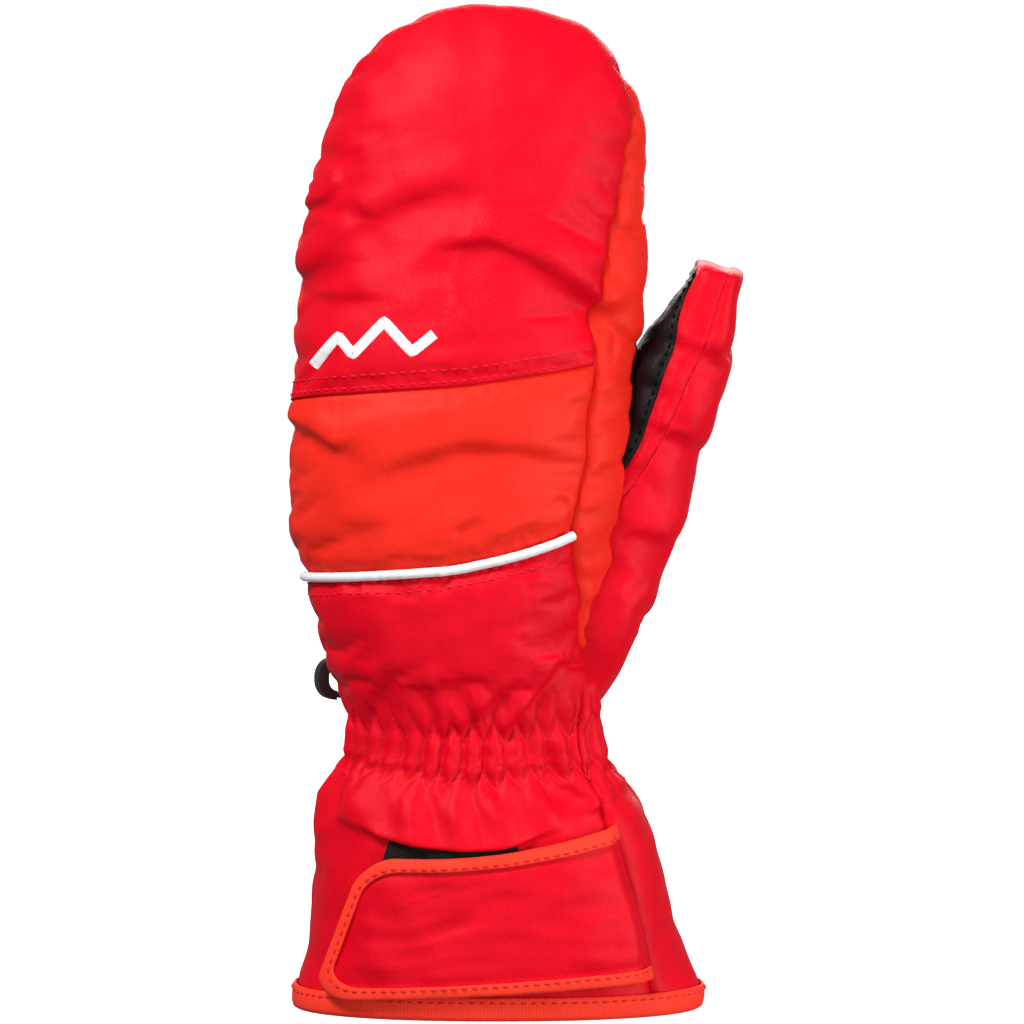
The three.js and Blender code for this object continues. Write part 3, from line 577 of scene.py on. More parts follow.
def seam_angle(right_rows, left_rows, tip):
    """A seam's angle by height and place over the dome, eased from its right side to its left."""

    def angle(height, over):
        height, over = np.broadcast_arrays(np.asarray(height, float), np.asarray(over, float))
        right, left = hermite(right_rows, height, 1), hermite(left_rows, height, 1)
        foot = np.where(over < 90, right, left)
        return lerp(foot, tip, smoothstep(np.minimum(over, 180 - over), 0, 60))

    return angle


LEFT_SEAM_ROWS = [[0, LEFT_SEAM_ANGLE], [HAND_SHOULDER, LEFT_SEAM_ANGLE]]
back_seam = seam_angle(RIGHT_SEAM_ROWS, LEFT_SEAM_ROWS, TIP_SEAM_ANGLE)
palm_seam = seam_angle(PALM_SEAM, PALM_SEAM_LEFT, PALM_SEAM_TIP)


def constant(value):
    return lambda *_: value


def by_height(rows):
    """A seam's angle that depends on the height alone."""
    return lambda height, over: hermite(rows, np.broadcast_arrays(height, over)[0], 1)


thumb_back_seam = by_height(THUMB_BACK_SEAM)
thumb_grip_seam = by_height(THUMB_GRIP_SEAM)


def upper_seam(across):
    """Height of the seam over the knuckle panel, by place across the back from -1 to 1."""
    return 178.6 + 5.6 * across


def piping_seam(across):
    """Height of the piped seam under it."""
    return 123.4 + 13.0 * ((across + 1) / 2) ** 1.8


# ---------------------------------------------------------------- grids on a bag


def face_grid(bag, side, edge, foot, columns, rows, head=None, dome_rows=0):
    """Ways and heights over a bag's front (side -1) or back (side 1), up to a seam or over the dome."""
    across = np.linspace(-1, 1, columns + 1) * -side
    share = np.linspace(0, 1, rows + 1)[:, None]
    top = bag.shoulder if head is None else head(across)
    height = foot(across) + (top - foot(across)) * share + 0 * across
    over = np.where(across < 0, 180.0, 0.0) + 0 * height
    way = aim(np.abs(across) * edge(height, over), over, side)
    if dome_rows:
        up = np.linspace(0, 1, dome_rows + 1)[1:, None]
        over_dome, reach = dome_way(across + 0 * up, up + 0 * across)
        dome = aim(reach * edge(bag.shoulder, over_dome), over_dome, side)
        way = np.concatenate([way, dome])
        height = np.concatenate([height, np.full(dome.shape[:2], float(bag.shoulder))])
    return way, height


def strip_grid(bag, inner, outer, foot, wall_columns, dome_columns, rows):
    """Ways and heights of a strip from the right foot over the dome to the left foot."""
    share = np.linspace(0, 1, wall_columns, endpoint=False)
    walls = foot + (bag.shoulder - foot) * share
    turn = np.linspace(0, 4, dome_columns + 1)
    across = np.clip(2 - turn, -1, 1)
    over_dome, _ = dome_way(across, np.minimum(np.minimum(turn, 4 - turn), 1))
    height = np.concatenate([walls, np.full(dome_columns + 1, float(bag.shoulder)), walls[::-1]])
    over = np.concatenate([np.zeros(wall_columns), over_dome, np.full(wall_columns, 180.0)])
    v = np.linspace(0, 1, rows + 1)[:, None]
    out = outer(height, over) + (inner(height, over) - outer(height, over)) * v
    return aim(out, over + 0 * out), height + 0 * out


def reach_from(points):
    """Distances along a grid's rows and columns: from its left, right, bottom and top edges."""
    across = np.linalg.norm(np.diff(points, axis=1), axis=-1)
    up = np.linalg.norm(np.diff(points, axis=0), axis=-1)
    left = np.concatenate([np.zeros((points.shape[0], 1)), np.cumsum(across, 1)], 1)
    bottom = np.concatenate([np.zeros((1, points.shape[1])), np.cumsum(up, 0)], 0)
    return left, left[:, -1:] - left, bottom, bottom[-1:] - bottom


def seam_dip(distance, run, seed, sewn=1.0, pucker=1.0):
    """How a sewn panel falls into its seam, with puckers that die away from it."""
    source = np.random.default_rng(seed)
    phase = source.uniform(0, 6, 3)
    wave = np.sin(run / 1.9 + phase[0] + 1.2 * np.sin(run / 8 + phase[1])) * 0.6
    wave = wave + np.sin(run / 4.3 + phase[2]) * 0.6
    roll = -SEAM_ROLL * sewn * np.exp(-distance / 1.3)
    tuck = 0.5 * pucker * wave * np.exp(-distance / 4.5) * (1 - np.exp(-distance / 1.0))
    return roll + tuck


# ---------------------------------------------------------------- meshes


def to_frame(points):
    return (np.asarray(points, float).reshape(-1, 3) + OFFSET) / 1000


def new_object(name, data):
    obj = bpy.data.objects.new(name, data)
    bpy.context.scene.collection.objects.link(obj)
    return obj


def shade_smooth(mesh):
    mesh.polygons.foreach_set("use_smooth", [True] * len(mesh.polygons))


def make_mesh(name, points, faces, cloth=None):
    """A smooth mesh from points in mm. cloth is each point's place along the threads, for its weave."""
    mesh = bpy.data.meshes.new(name)
    mesh.from_pydata(to_frame(points).tolist(), [], faces)
    if cloth is not None:
        attribute = mesh.attributes.new("cloth", "FLOAT_VECTOR", "POINT")
        attribute.data.foreach_set("vector", np.asarray(cloth, np.float32).ravel())
    mesh.validate()
    shade_smooth(mesh)
    return new_object(name, mesh)


# A cell's faces and rims, as corners: steps along the row and the column, and 0 for outer, 1 for inner.
OUTER_FACE = ((0, 0, 0), (1, 0, 0), (1, 1, 0), (0, 1, 0))
INNER_FACE = ((0, 0, 1), (0, 1, 1), (1, 1, 1), (1, 0, 1))
LEFT_RIM = ((0, 0, 0), (0, 1, 0), (0, 1, 1), (0, 0, 1))
RIGHT_RIM = ((1, 0, 0), (1, 0, 1), (1, 1, 1), (1, 1, 0))
LOW_RIM = ((0, 0, 0), (0, 0, 1), (1, 0, 1), (1, 0, 0))
HIGH_RIM = ((0, 1, 0), (1, 1, 0), (1, 1, 1), (0, 1, 1))


def slab(name, outer, inner, keep=None, ring=False, zipped=False):
    """A closed sheet between two grids of points. keep marks the cells that it has.

    A ring's last column meets its first, and a zipped sheet's top edge folds on itself.
    """
    rows, across = outer.shape[0] - 1, outer.shape[1]
    columns = across if ring else across - 1
    keep = np.ones((rows, columns), bool) if keep is None else keep
    layer = outer.shape[0] * across
    padded = np.zeros((rows + 2, columns + 2), bool)
    padded[1:-1, 1:-1] = keep
    if ring:
        padded[:, 0], padded[:, -1] = padded[:, -2], padded[:, 1]
    if zipped:
        padded[-1, 1:-1] = keep[-1]
    faces = []
    for marked, corners in (
        (keep, OUTER_FACE),
        (keep, INNER_FACE),
        (keep & ~padded[1:-1, :-2], LEFT_RIM),
        (keep & ~padded[1:-1, 2:], RIGHT_RIM),
        (keep & ~padded[:-2, 1:-1], LOW_RIM),
        (keep & ~padded[2:, 1:-1], HIGH_RIM),
    ):
        j, i = np.nonzero(marked)
        ends = [side * layer + (j + up) * across + (i + on) % across for on, up, side in corners]
        faces.append(np.stack(ends, -1))
    faces = np.concatenate(faces)
    points = np.concatenate([outer.reshape(-1, 3), inner.reshape(-1, 3)])
    left, _, bottom, _ = reach_from(outer)
    flat = np.stack([left, bottom, 0 * left], -1).reshape(-1, 3)
    cloth = np.concatenate([flat, flat])
    used = np.zeros(len(points), bool)
    used[faces.ravel()] = True
    index = np.cumsum(used) - 1
    obj = make_mesh(name, points[used], index[faces].tolist(), cloth[used])
    if zipped:
        weld(obj)
    return obj


def weld(obj):
    """Joins the points that share one place."""
    modifier = obj.modifiers.new("weld", "WELD")
    modifier.merge_threshold = 1e-6
    apply_modifiers(obj)


def apply_modifiers(obj):
    """Makes what an object's modifiers show its mesh."""
    depsgraph = bpy.context.evaluated_depsgraph_get()
    made = bpy.data.meshes.new_from_object(obj.evaluated_get(depsgraph))
    obj.modifiers.clear()
    obj.data = made


def fix_normals(obj):
    """Turns a closed mesh's faces outwards."""
    work = bmesh.new()
    work.from_mesh(obj.data)
    bmesh.ops.recalc_face_normals(work, faces=work.faces)
    work.to_mesh(obj.data)
    work.free()


def tube_faces(count, sides, loop=False, start=0):
    """Faces through `count` rings of points from `start` on, with flat ends unless it is a loop."""
    k = np.arange(count if loop else count - 1)[:, None]
    i = np.arange(sides)
    here, after = start + k * sides, start + (k + 1) % count * sides
    right = (i + 1) % sides
    faces = np.stack([here + i, here + right, after + right, after + i], -1).reshape(-1, 4).tolist()
    if not loop:
        faces.append((start + i[::-1]).tolist())
        faces.append((start + (count - 1) * sides + i).tolist())
    return faces


def circles(centres, side, up, radius, sides):
    """A ring of points round each centre, in the plane of its side and up."""
    turn = (np.arange(sides) * 2 * math.pi / sides)[:, None]
    size = np.broadcast_to(radius, len(centres))[:, None, None]
    return centres[:, None] + size * (np.cos(turn) * side[:, None] + np.sin(turn) * up[:, None])


def tube_mesh(name, rings, loop=False):
    """A solid through rings of points, closed by flat ends unless it is a loop."""
    count, sides = rings.shape[:2]
    run = run_along(rings.mean(1))[:, None]
    steps = np.cumsum(np.linalg.norm(np.diff(rings, axis=1), axis=-1), 1)
    turned = np.concatenate([np.zeros((count, 1)), steps], 1)
    cloth = np.stack([run + 0 * turned, turned, 0 * turned], -1)
    obj = make_mesh(name, rings.reshape(-1, 3), tube_faces(count, sides, loop), cloth.reshape(-1, 3))
    fix_normals(obj)
    return obj


# ---------------------------------------------------------------- cloth simulation


def held(bag, way, height):
    """How firmly each point of the cloth is held: fully at a seam, the hem and the elastic."""
    length = np.linalg.norm(way, axis=-1)
    out = np.degrees(np.arccos(np.clip(-way[..., 1] / length, -1, 1)))
    over = np.degrees(np.arctan2(np.maximum(way[..., 2], 0), way[..., 0]))
    seams = (thumb_back_seam, thumb_grip_seam) if bag is thumb else (back_seam, palm_seam)
    near = np.minimum(*(np.abs(out - seam(height, over)) for seam in seams))
    if bag is thumb:
        hold = np.maximum(bell(near / 4.0), bell(height / 9.0))
        return np.maximum(hold, smoothstep(height, 84, 102))
    hold = bell(near / 2.2)
    across = np.clip(way[..., 0], -1, 1)
    flat = way[..., 2] < 1e-9
    front = flat & (way[..., 1] < 0)
    for seam in (upper_seam, piping_seam):
        hold = np.maximum(hold, np.where(front, bell((height - seam(across)) / 2.6), 0))
    hold = np.maximum(hold, np.where(flat, bell((height - 80) / 12.0), 0))
    return np.maximum(hold, np.where(flat, 1 - smoothstep(height, 60, 84), 0))


def press(bag, columns, wall_rows, dome_rows, most):
    """Inflates the bag's cloth between its seams, and keeps how far each place moved, up to `most`."""
    across = np.linspace(-1, 1, columns + 1)
    wall = np.linspace(0, 1, wall_rows + 1)[:, None] * bag.shoulder + 0 * across
    up = np.linspace(0, 1, dome_rows + 1)[1:, None]
    over_dome, reach = dome_way(across + 0 * up, up + 0 * across)
    over = np.concatenate([np.where(across < 0, 180.0, 0.0) + 0 * wall, over_dome])
    out = np.concatenate([np.abs(across) * 90 + 0 * wall, reach * 90])
    height = np.concatenate([wall, np.full(over_dome.shape, float(bag.shoulder))])
    rows = wall_rows + dome_rows
    grids, holds = [], []
    for side in (-1, 1):
        way = aim(out, over, side)
        flat = bag.smooth(way, height, 0.0)
        grids.append(bag.smooth(way, height, -bag.relief(flat, way)))
        holds.append(held(bag, way, height))
    index = np.arange((rows + 1) * (columns + 1)).reshape(rows + 1, columns + 1)
    other = index + index.size
    other[:, 0], other[:, -1], other[-1] = index[:, 0], index[:, -1], index[-1]
    faces = []
    for grid, turned in ((index, False), (other, True)):
        quads = np.stack([grid[:-1, :-1], grid[:-1, 1:], grid[1:, 1:], grid[1:, :-1]], -1).reshape(-1, 4)
        faces.append(quads[:, ::-1] if turned else quads)
    faces = np.concatenate(faces)
    points = np.concatenate([g.reshape(-1, 3) for g in grids])
    hold = np.concatenate([h.ravel() for h in holds])
    used = np.unique(faces)
    short = np.zeros(len(points), int)
    short[used] = np.arange(len(used))
    mesh = bpy.data.meshes.new("pressed")
    start = points[used] / CLOTH_UNIT
    mesh.from_pydata(start.tolist(), [], short[faces].tolist())
    obj = new_object("pressed", mesh)
    group = obj.vertex_groups.new(name="held")
    weights = np.round(np.clip(hold[used], 0.03, 1), 2)
    for weight in np.unique(weights):
        group.add(np.nonzero(weights == weight)[0].tolist(), float(weight), "REPLACE")
    cloth = obj.modifiers.new("cloth", "CLOTH")
    settings = cloth.settings
    settings.quality = 5
    settings.mass = 0.3
    settings.tension_stiffness = settings.compression_stiffness = 12
    settings.shear_stiffness = 8
    settings.bending_stiffness = 0.08
    settings.use_pressure = True
    settings.uniform_pressure_force = CLOTH_PRESSURE
    settings.shrink_min = settings.shrink_max = -CLOTH_GROWTH
    settings.vertex_group_mass = "held"
    settings.pin_stiffness = 1.0
    settings.effector_weights.gravity = 0
    cloth.collision_settings.use_collision = False
    cloth.point_cache.frame_start, cloth.point_cache.frame_end = 1, CLOTH_FRAMES
    for number in range(1, CLOTH_FRAMES + 1):
        bpy.context.scene.frame_set(number)
    pressed = obj.evaluated_get(bpy.context.evaluated_depsgraph_get()).to_mesh()
    end = np.empty(len(pressed.vertices) * 3)
    pressed.vertices.foreach_get("co", end)
    moved = (end.reshape(-1, 3) - start) * CLOTH_UNIT
    length = np.linalg.norm(moved, axis=1, keepdims=True)
    moved *= most * np.tanh(length / most) / np.maximum(length, 1e-9)
    bpy.data.objects.remove(obj)
    bpy.context.scene.frame_set(1)
    print(f"cloth moved {length.mean():.2f} mm on average, {length.max():.2f} at most")
    bag.drift = [moved[short[grid]] for grid in (index, other)]
    bag.wall_rows = wall_rows


press(hand, 96, 112, 26, most=2.4)
press(thumb, 48, 48, 12, most=2.0)


# ---------------------------------------------------------------- materials


class Nodes:
    """Short ways to add shader nodes to a material."""

    def __init__(self, name):
        self.material = bpy.data.materials.new(name)
        self.material.use_nodes = True
        self.tree = self.material.node_tree
        self.shader = self.tree.nodes["Principled BSDF"]
        self.cloth = self.add("ShaderNodeAttribute")
        self.cloth.attribute_name = "cloth"

    def add(self, kind, **values):
        node = self.tree.nodes.new(kind)
        for key, value in values.items():
            setattr(node, key, value)
        return node

    def link(self, source, target):
        self.tree.links.new(source, target)

    def math(self, operation, a, b=None, c=None):
        node = self.add("ShaderNodeMath", operation=operation)
        for socket, value in zip(node.inputs, (a, b, c)):
            if value is None:
                continue
            if isinstance(value, (int, float)):
                socket.default_value = value
            else:
                self.link(value, socket)
        return node.outputs[0]

    def place(self):
        """Position on the object in mm."""
        geometry = self.add("ShaderNodeTexCoord")
        node = self.add("ShaderNodeVectorMath", operation="SCALE")
        self.link(geometry.outputs["Object"], node.inputs[0])
        node.inputs["Scale"].default_value = 1000.0
        return node.outputs[0]

    def wave(self, axis, pitch):
        """Ridges `pitch` mm apart along one axis of the cloth, from -1 to 1."""
        split = self.add("ShaderNodeSeparateXYZ")
        self.link(self.cloth.outputs["Vector"], split.inputs[0])
        return self.math("SINE", self.math("MULTIPLY", split.outputs[axis], 2 * math.pi / pitch))

    def noise(self, size, detail=2.0):
        """Noise whose lumps are about `size` mm."""
        node = self.add("ShaderNodeTexNoise")
        node.inputs["Scale"].default_value = 1.0 / size
        node.inputs["Detail"].default_value = detail
        self.link(self.place(), node.inputs["Vector"])
        return node.outputs["Fac"]

    def colour(self, value, low, high):
        """Colours the surface between two colours, by a value from 0 to 1."""
        node = self.add("ShaderNodeMix", data_type="RGBA")
        self.link(value, node.inputs[0])
        node.inputs[6].default_value = low
        node.inputs[7].default_value = high
        self.link(node.outputs[2], self.shader.inputs["Base Color"])

    def bump(self, height, distance, strength=1.0):
        """Raises the surface by a height, `distance` mm where it is 1."""
        node = self.add("ShaderNodeBump")
        node.inputs["Strength"].default_value = strength
        node.inputs["Distance"].default_value = distance / 1000
        self.link(height, node.inputs["Height"])
        self.link(node.outputs["Normal"], self.shader.inputs["Normal"])

    def finish(self, roughness, sheen=0.0, sheen_roughness=0.5, specular=0.5):
        self.shader.inputs["Roughness"].default_value = roughness
        self.shader.inputs["Sheen Weight"].default_value = sheen
        self.shader.inputs["Sheen Roughness"].default_value = sheen_roughness
        self.shader.inputs["Specular IOR Level"].default_value = specular
        return self.material


WEAVE_PITCH = 0.7


def linear(*screen):
    """A colour given as red, green and blue from 0 to 255 on screen."""
    parts = [c / 255 for c in screen]
    return tuple(c / 12.92 if c <= 0.04045 else ((c + 0.055) / 1.055) ** 2.4 for c in parts) + (1.0,)


def mixed(a, b, t):
    return tuple(lerp(x, y, t) for x, y in zip(a, b))


def shell_fabric(name, colour, deep):
    """Brushed nylon: a fine plain weave, slight unevenness, and a low shine."""
    nodes = Nodes(name)
    mottle = nodes.noise(9.0, 4.0)
    fibre = nodes.noise(0.5, 2.0)
    tone = nodes.math("MULTIPLY_ADD", fibre, 0.35, nodes.math("MULTIPLY", mottle, 0.75))
    nodes.colour(tone, deep, colour)
    over = nodes.math("MULTIPLY", nodes.wave(0, WEAVE_PITCH), nodes.wave(1, WEAVE_PITCH))
    weave = nodes.math("MULTIPLY_ADD", over, 0.5, 0.5)
    grain = nodes.math("MULTIPLY_ADD", weave, 0.6, nodes.math("MULTIPLY", fibre, 0.5))
    uneven = nodes.noise(5.0, 3.0)
    nodes.bump(nodes.math("MULTIPLY_ADD", uneven, 3.0, grain), 0.09, 0.9)
    return nodes.finish(0.44, specular=0.11)


def ribbed_tape(name, colour, deep, pitch=0.9, depth=0.12):
    """Grosgrain: ribs across the tape, with painted shade: the colour darkens to `deep` in the grooves
    between the ribs, and the fibres vary in tone at random.
    """
    nodes = Nodes(name)
    rib = nodes.math("MULTIPLY_ADD", nodes.wave(0, pitch), 0.5, 0.5)
    fibre = nodes.math("MULTIPLY", nodes.noise(0.4, 2.0), 0.5)
    # Painted shade: the colour follows the ribs' height and is darkest in their grooves; the fibre noise
    # adds random tone.
    nodes.colour(nodes.math("MULTIPLY_ADD", rib, 0.6, fibre), deep, colour)
    nodes.bump(nodes.math("ADD", rib, fibre), depth, 0.8)
    return nodes.finish(0.6, specular=0.1)


def grip_leather(name):
    """Black synthetic leather: pebbles with creases between them."""
    nodes = Nodes(name)
    cells = nodes.add("ShaderNodeTexVoronoi", feature="DISTANCE_TO_EDGE")
    cells.inputs["Scale"].default_value = 0.9
    nodes.link(nodes.place(), cells.inputs["Vector"])
    pebble = nodes.math("MINIMUM", cells.outputs["Distance"], 0.22)
    tone = nodes.noise(12.0, 3.0)
    nodes.colour(tone, linear(9, 8, 9), linear(22, 20, 21))
    nodes.bump(nodes.math("MULTIPLY_ADD", nodes.noise(0.6), 0.12, pebble), 0.5, 0.5)
    return nodes.finish(0.5, specular=0.14)


def fuzzy(name, colour, deep, size, depth, sheen=0.5):
    """Wadding, fleece or loop: soft lumps of one size in mm, painted darker (`deep`) where they are low:
    painted shade in the hollows between them.
    """
    nodes = Nodes(name)
    lump = nodes.noise(size, 4.0)
    # Painted shade: the noise that raises the lumps also darkens their hollows.
    nodes.colour(lump, deep, colour)
    nodes.bump(lump, depth)
    return nodes.finish(0.95, sheen=sheen, sheen_roughness=0.6, specular=0.15)


def plain(name, colour, roughness, specular=0.5, grain=0.0):
    """One colour, a little darker in places, with a grain of some height in mm."""
    nodes = Nodes(name)
    nodes.colour(nodes.noise(2.0, 3.0), mixed(colour, (0, 0, 0, 1), 0.12), colour)
    if grain:
        nodes.bump(nodes.noise(0.35, 3.0), grain, 0.6)
    return nodes.finish(roughness, specular=specular)


RED = linear(232, 2, 32)
ORANGE = linear(246, 44, 30)

# By slot, and the threads by name.
# For the shell fabrics the second colour is a random darker tone; for the tapes, elastic, label, webbing,
# wadding, fleece and loop it is painted shade for their grooves and hollows.
looks = {
    "red_fabric": shell_fabric("red_fabric", RED, mixed(RED, linear(150, 0, 16), 0.35)),
    "orange_fabric": shell_fabric("orange_fabric", ORANGE, mixed(ORANGE, linear(170, 16, 10), 0.35)),
    "orange_tape": ribbed_tape("orange_tape", linear(255, 66, 46), linear(250, 54, 37), depth=0.03),
    "white_cord": plain("white_cord", linear(238, 238, 240), 0.6, 0.4, grain=0.12),
    "black_grip": grip_leather("black_grip"),
    "black_loop": fuzzy("black_loop", linear(24, 21, 22), linear(6, 6, 7), 0.55, 0.5, sheen=0.1),
    "black_hook": plain("black_hook", linear(16, 15, 16), 0.6, grain=0.3),
    "black_lining": plain("black_lining", linear(20, 19, 21), 0.8, 0.3, grain=0.1),
    "elastic": ribbed_tape("elastic", linear(60, 60, 62), linear(20, 20, 22), 1.2),
    "wadding": fuzzy("wadding", linear(236, 234, 230), linear(190, 188, 186), 2.0, 0.6),
    "membrane": plain("membrane", linear(214, 218, 222), 0.45, 0.5),
    "fleece": fuzzy("fleece", linear(74, 76, 80), linear(26, 27, 30), 0.8, 0.5),
    "label": ribbed_tape("label", linear(236, 236, 234), linear(206, 206, 204), 0.4),
    "webbing": ribbed_tape("webbing", linear(34, 32, 33), linear(10, 10, 11), 1.1),
    "clip_plastic": plain("clip_plastic", linear(46, 38, 36), 0.42, 0.5, grain=0.06),
}
for name, colour, roughness, specular in (
    ("red_thread", (226, 16, 40), 0.65, 0.3),
    ("orange_thread", (226, 40, 36), 0.65, 0.3),
    ("mark_thread", (240, 238, 240), 0.6, 0.3),
    ("black_thread", (11, 9, 10), 0.8, 0.05),
):
    looks[name] = plain(name, linear(*colour), roughness, specular, grain=0.1)


def dress(obj, slot, body, look=None, node=None):
    """Gives a piece the material of its slot, or of its look where one is named, attaches it to its body,
    and hides the CAD node that it stands for.

    A piece of body None is attached to no body.
    """
    obj.data.materials.clear()
    obj.data.materials.append(looks[look or slot])
    if body:
        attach(obj, body)
    if node:
        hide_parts(node)
    return obj


# ---------------------------------------------------------------- thread


def normals_of(grid):
    """Unit normals of a grid of points."""
    a = np.gradient(grid, axis=1)
    b = np.gradient(grid, axis=0)
    n = np.cross(a, b)
    return n / np.maximum(np.linalg.norm(n, axis=-1, keepdims=True), 1e-9)


def seam_row(grid, edge, distance, ends=2.0):
    """Points and normals along a grid at a distance from one edge, `ends` mm short of its sides."""
    left, right, bottom, top = reach_from(grid)
    normal = normals_of(grid)
    if edge in ("left", "right"):
        grid, normal = grid.transpose(1, 0, 2), normal.transpose(1, 0, 2)
        reach = (left if edge == "left" else right).T
    else:
        reach = bottom if edge == "bottom" else top
    points, sides = [], []
    rows = np.arange(grid.shape[0])
    for i in range(grid.shape[1]):
        column = reach[:, i]
        rising = column[-1] > column[0]
        row = np.interp(distance, column if rising else column[::-1], rows if rising else rows[::-1])
        j = min(int(row), grid.shape[0] - 2)
        t = row - j
        points.append(grid[j, i] * (1 - t) + grid[j + 1, i] * t)
        sides.append(normal[j, i] * (1 - t) + normal[j + 1, i] * t)
    points, sides = np.array(points), np.array(sides)
    run = run_along(points)
    inside = (run >= ends) & (run <= run[-1] - ends)
    return points[inside], sides[inside]


def along(points, run, places):
    """A line's points at some distances along it."""
    return np.stack([np.interp(places, run, points[:, c]) for c in range(3)], -1)


def stitches(name, rows, radius=0.27):
    """Thread showing as short capsules along each row of points and normals."""
    sides, rings = 6, 7
    share_of = np.linspace(-1, 1, rings)
    arch = STITCH_RISE - 0.5 * np.abs(share_of) ** 3
    size = radius * np.sqrt(np.clip(1.04 - share_of**2, 0.05, 1))
    points, faces = [], []
    for path, normal in rows:
        run = run_along(path)
        count = max(int(run[-1] / STITCH_PITCH), 1)
        for k in range(count):
            places = (k + 0.5) * run[-1] / count + share_of / 2 * STITCH_PITCH * STITCH_SHARE
            line = along(path, run, places)
            out = unit(along(normal, run, places))
            way = unit(np.gradient(line, axis=0))
            faces += tube_faces(rings, sides, start=len(points) * rings * sides)
            points.append(circles(line + out * arch[:, None], np.cross(way, out), out, size, sides))
    obj = make_mesh(name, np.concatenate(points), faces)
    fix_normals(obj)
    return obj


def cord(name, path, radius, normal, sides, loop=False):
    """A round cord along a path."""
    way = unit(np.gradient(path, axis=0))
    side = unit(np.cross(way, normal))
    return tube_mesh(name, circles(path, side, np.cross(side, way), radius, sides), loop)


# ---------------------------------------------------------------- hand panels


def clear_of_thumb(points):
    """False inside the thumb's root, where the hand's layers have their hole."""
    local = (points - THUMB_ROOT) @ np.array(ThumbBag.tilt)
    height = local[..., 2]
    inside = thumb.holds(local, np.clip(height, THUMB_FOOT, THUMB_SHOULDER), 3.0)
    inside &= (height > THUMB_FOOT) & (height < THUMB_SHOULDER)
    return ~(inside & (points[..., 2] < 122))


def clear_of_hand(points):
    """False deep inside the hand near the thumb's root, where the thumb's layers end."""
    height = points[..., 2]
    return ~(hand.holds(points, height, 5.0) & (height > 0) & (height < 118))


def cells(mask):
    """A grid cell is kept if any of its corners is."""
    return mask[:-1, :-1] | mask[1:, :-1] | mask[:-1, 1:] | mask[1:, 1:]


def panel(bag, grid, seed, edges="lrbt", wall=SHELL, pucker=1.0, deep=1.0, under=0.0):
    """Outer and inner points of a panel that falls into its seams on the named edges.

    Its top edge may go under the panel above by `under` mm.
    """
    way, height = grid
    flat = bag.place(way, height)
    left, right, bottom, top = reach_from(flat)
    rise = np.zeros(height.shape)
    reach = {"l": (left, bottom), "r": (right, bottom), "b": (bottom, left), "t": (top, left)}
    for key in edges:
        rise = rise + seam_dip(*reach[key], seed + ord(key), deep, pucker)
    rise = np.maximum(rise, -SEAM_DEPTH)
    if under:
        rise = lerp(np.full(rise.shape, -under), rise, smoothstep(top, 2.4, 4.0))
    return bag.place(way, height, rise), bag.place(way, height, rise - wall)


def shaved(angle, by=0.12):
    """A seam's angle less a small gap."""
    return lambda height, over: angle(height, over) - by


def from_palm(angle, by=0.12):
    """The same, measured from the middle of the palm."""
    return lambda height, over: 180 - angle(height, over) - by


# The outer points of each panel, by its node.
grids = {}


def add_panel(node, slot, grid, seed, keep=None, bag=hand, body="mitten", **options):
    """Makes the skin of one panel, which stands for its node."""
    outer, inner = panel(bag, grid, seed, **options)
    mask = None if keep is None else cells(keep(outer))
    grids[node] = outer
    return dress(slab(node + "_skin", outer, inner, keep=mask), slot, body, node=node)


seam = shaved(back_seam)
add_panel(
    "finger_back_panel", "red_fabric",
    face_grid(hand, -1, seam, upper_seam, 116, 62, dome_rows=58),
    100, edges="lr",
)
add_panel(
    "knuckle_back_panel", "orange_fabric",
    face_grid(hand, -1, seam, lambda a: piping_seam(a) + GAP, 116, 62, head=lambda a: upper_seam(a) + 2.5),
    200, edges="lrb", under=1.05,
)
add_panel(
    "cuff_back_panel", "red_fabric",
    face_grid(hand, -1, seam, constant(HEM_LINE), 140, 190, head=lambda a: piping_seam(a) - GAP),
    300, edges="lrt",
)
add_panel(
    "finger_gusset", "orange_fabric",
    strip_grid(hand, shaved(back_seam, -0.12), palm_seam, GUSSET_FOOT, 150, 150, 30),
    400, keep=clear_of_thumb,
)
add_panel(
    "palm_panel", "black_grip",
    face_grid(hand, 1, from_palm(palm_seam), constant(GUSSET_FOOT), 104, 110, dome_rows=46),
    500, keep=clear_of_thumb, pucker=0.6,
)
add_panel(
    "cuff_palm_panel", "red_fabric",
    face_grid(hand, 1, from_palm(back_seam), constant(HEM_LINE), 190, 96, head=constant(WRIST_LINE)),
    600, edges="lrt",
)


def patch_edge(height, over):
    """The grip patch's edges, in degrees from the middle of the palm."""
    reach = np.where(over < 90, 17, 44)
    return reach * (1 - 0.3 * np.abs((height - 147) / 39) ** 4)


way, height = face_grid(hand, 1, patch_edge, constant(108), 64, 80, head=constant(186))
flat = hand.place(way, height)
left, right, bottom, top = reach_from(flat)
edge_distance = np.minimum.reduce([left, right, bottom, top])
rise = 1.55 - 0.9 * np.exp(-edge_distance / 0.8) + 0.25 * bell((edge_distance - 3.2) / 1.2)
patch_outer = hand.place(way, height, rise)
patch = slab("palm_grip_patch_skin", patch_outer, hand.place(way, height, 0.35))
dress(patch, "black_grip", "mitten", node="palm_grip_patch")


# ---------------------------------------------------------------- hand linings


def bag_grid(bag, foot, columns, rows, dome_rows):
    """Ways and heights of a whole bag as a ring, front then back, whose top edge folds on itself."""
    front = face_grid(bag, -1, constant(90.0), constant(foot), columns, rows, dome_rows=dome_rows)
    back = face_grid(bag, 1, constant(90.0), constant(foot), columns, rows, dome_rows=dome_rows)
    return tuple(np.concatenate([a[:, :-1], b[:, :-1]], axis=1) for a, b in zip(front, back))


def ring_cells(mask):
    """The cells of a ring, whose last column meets its first."""
    return cells(np.concatenate([mask, mask[:, :1]], axis=1))


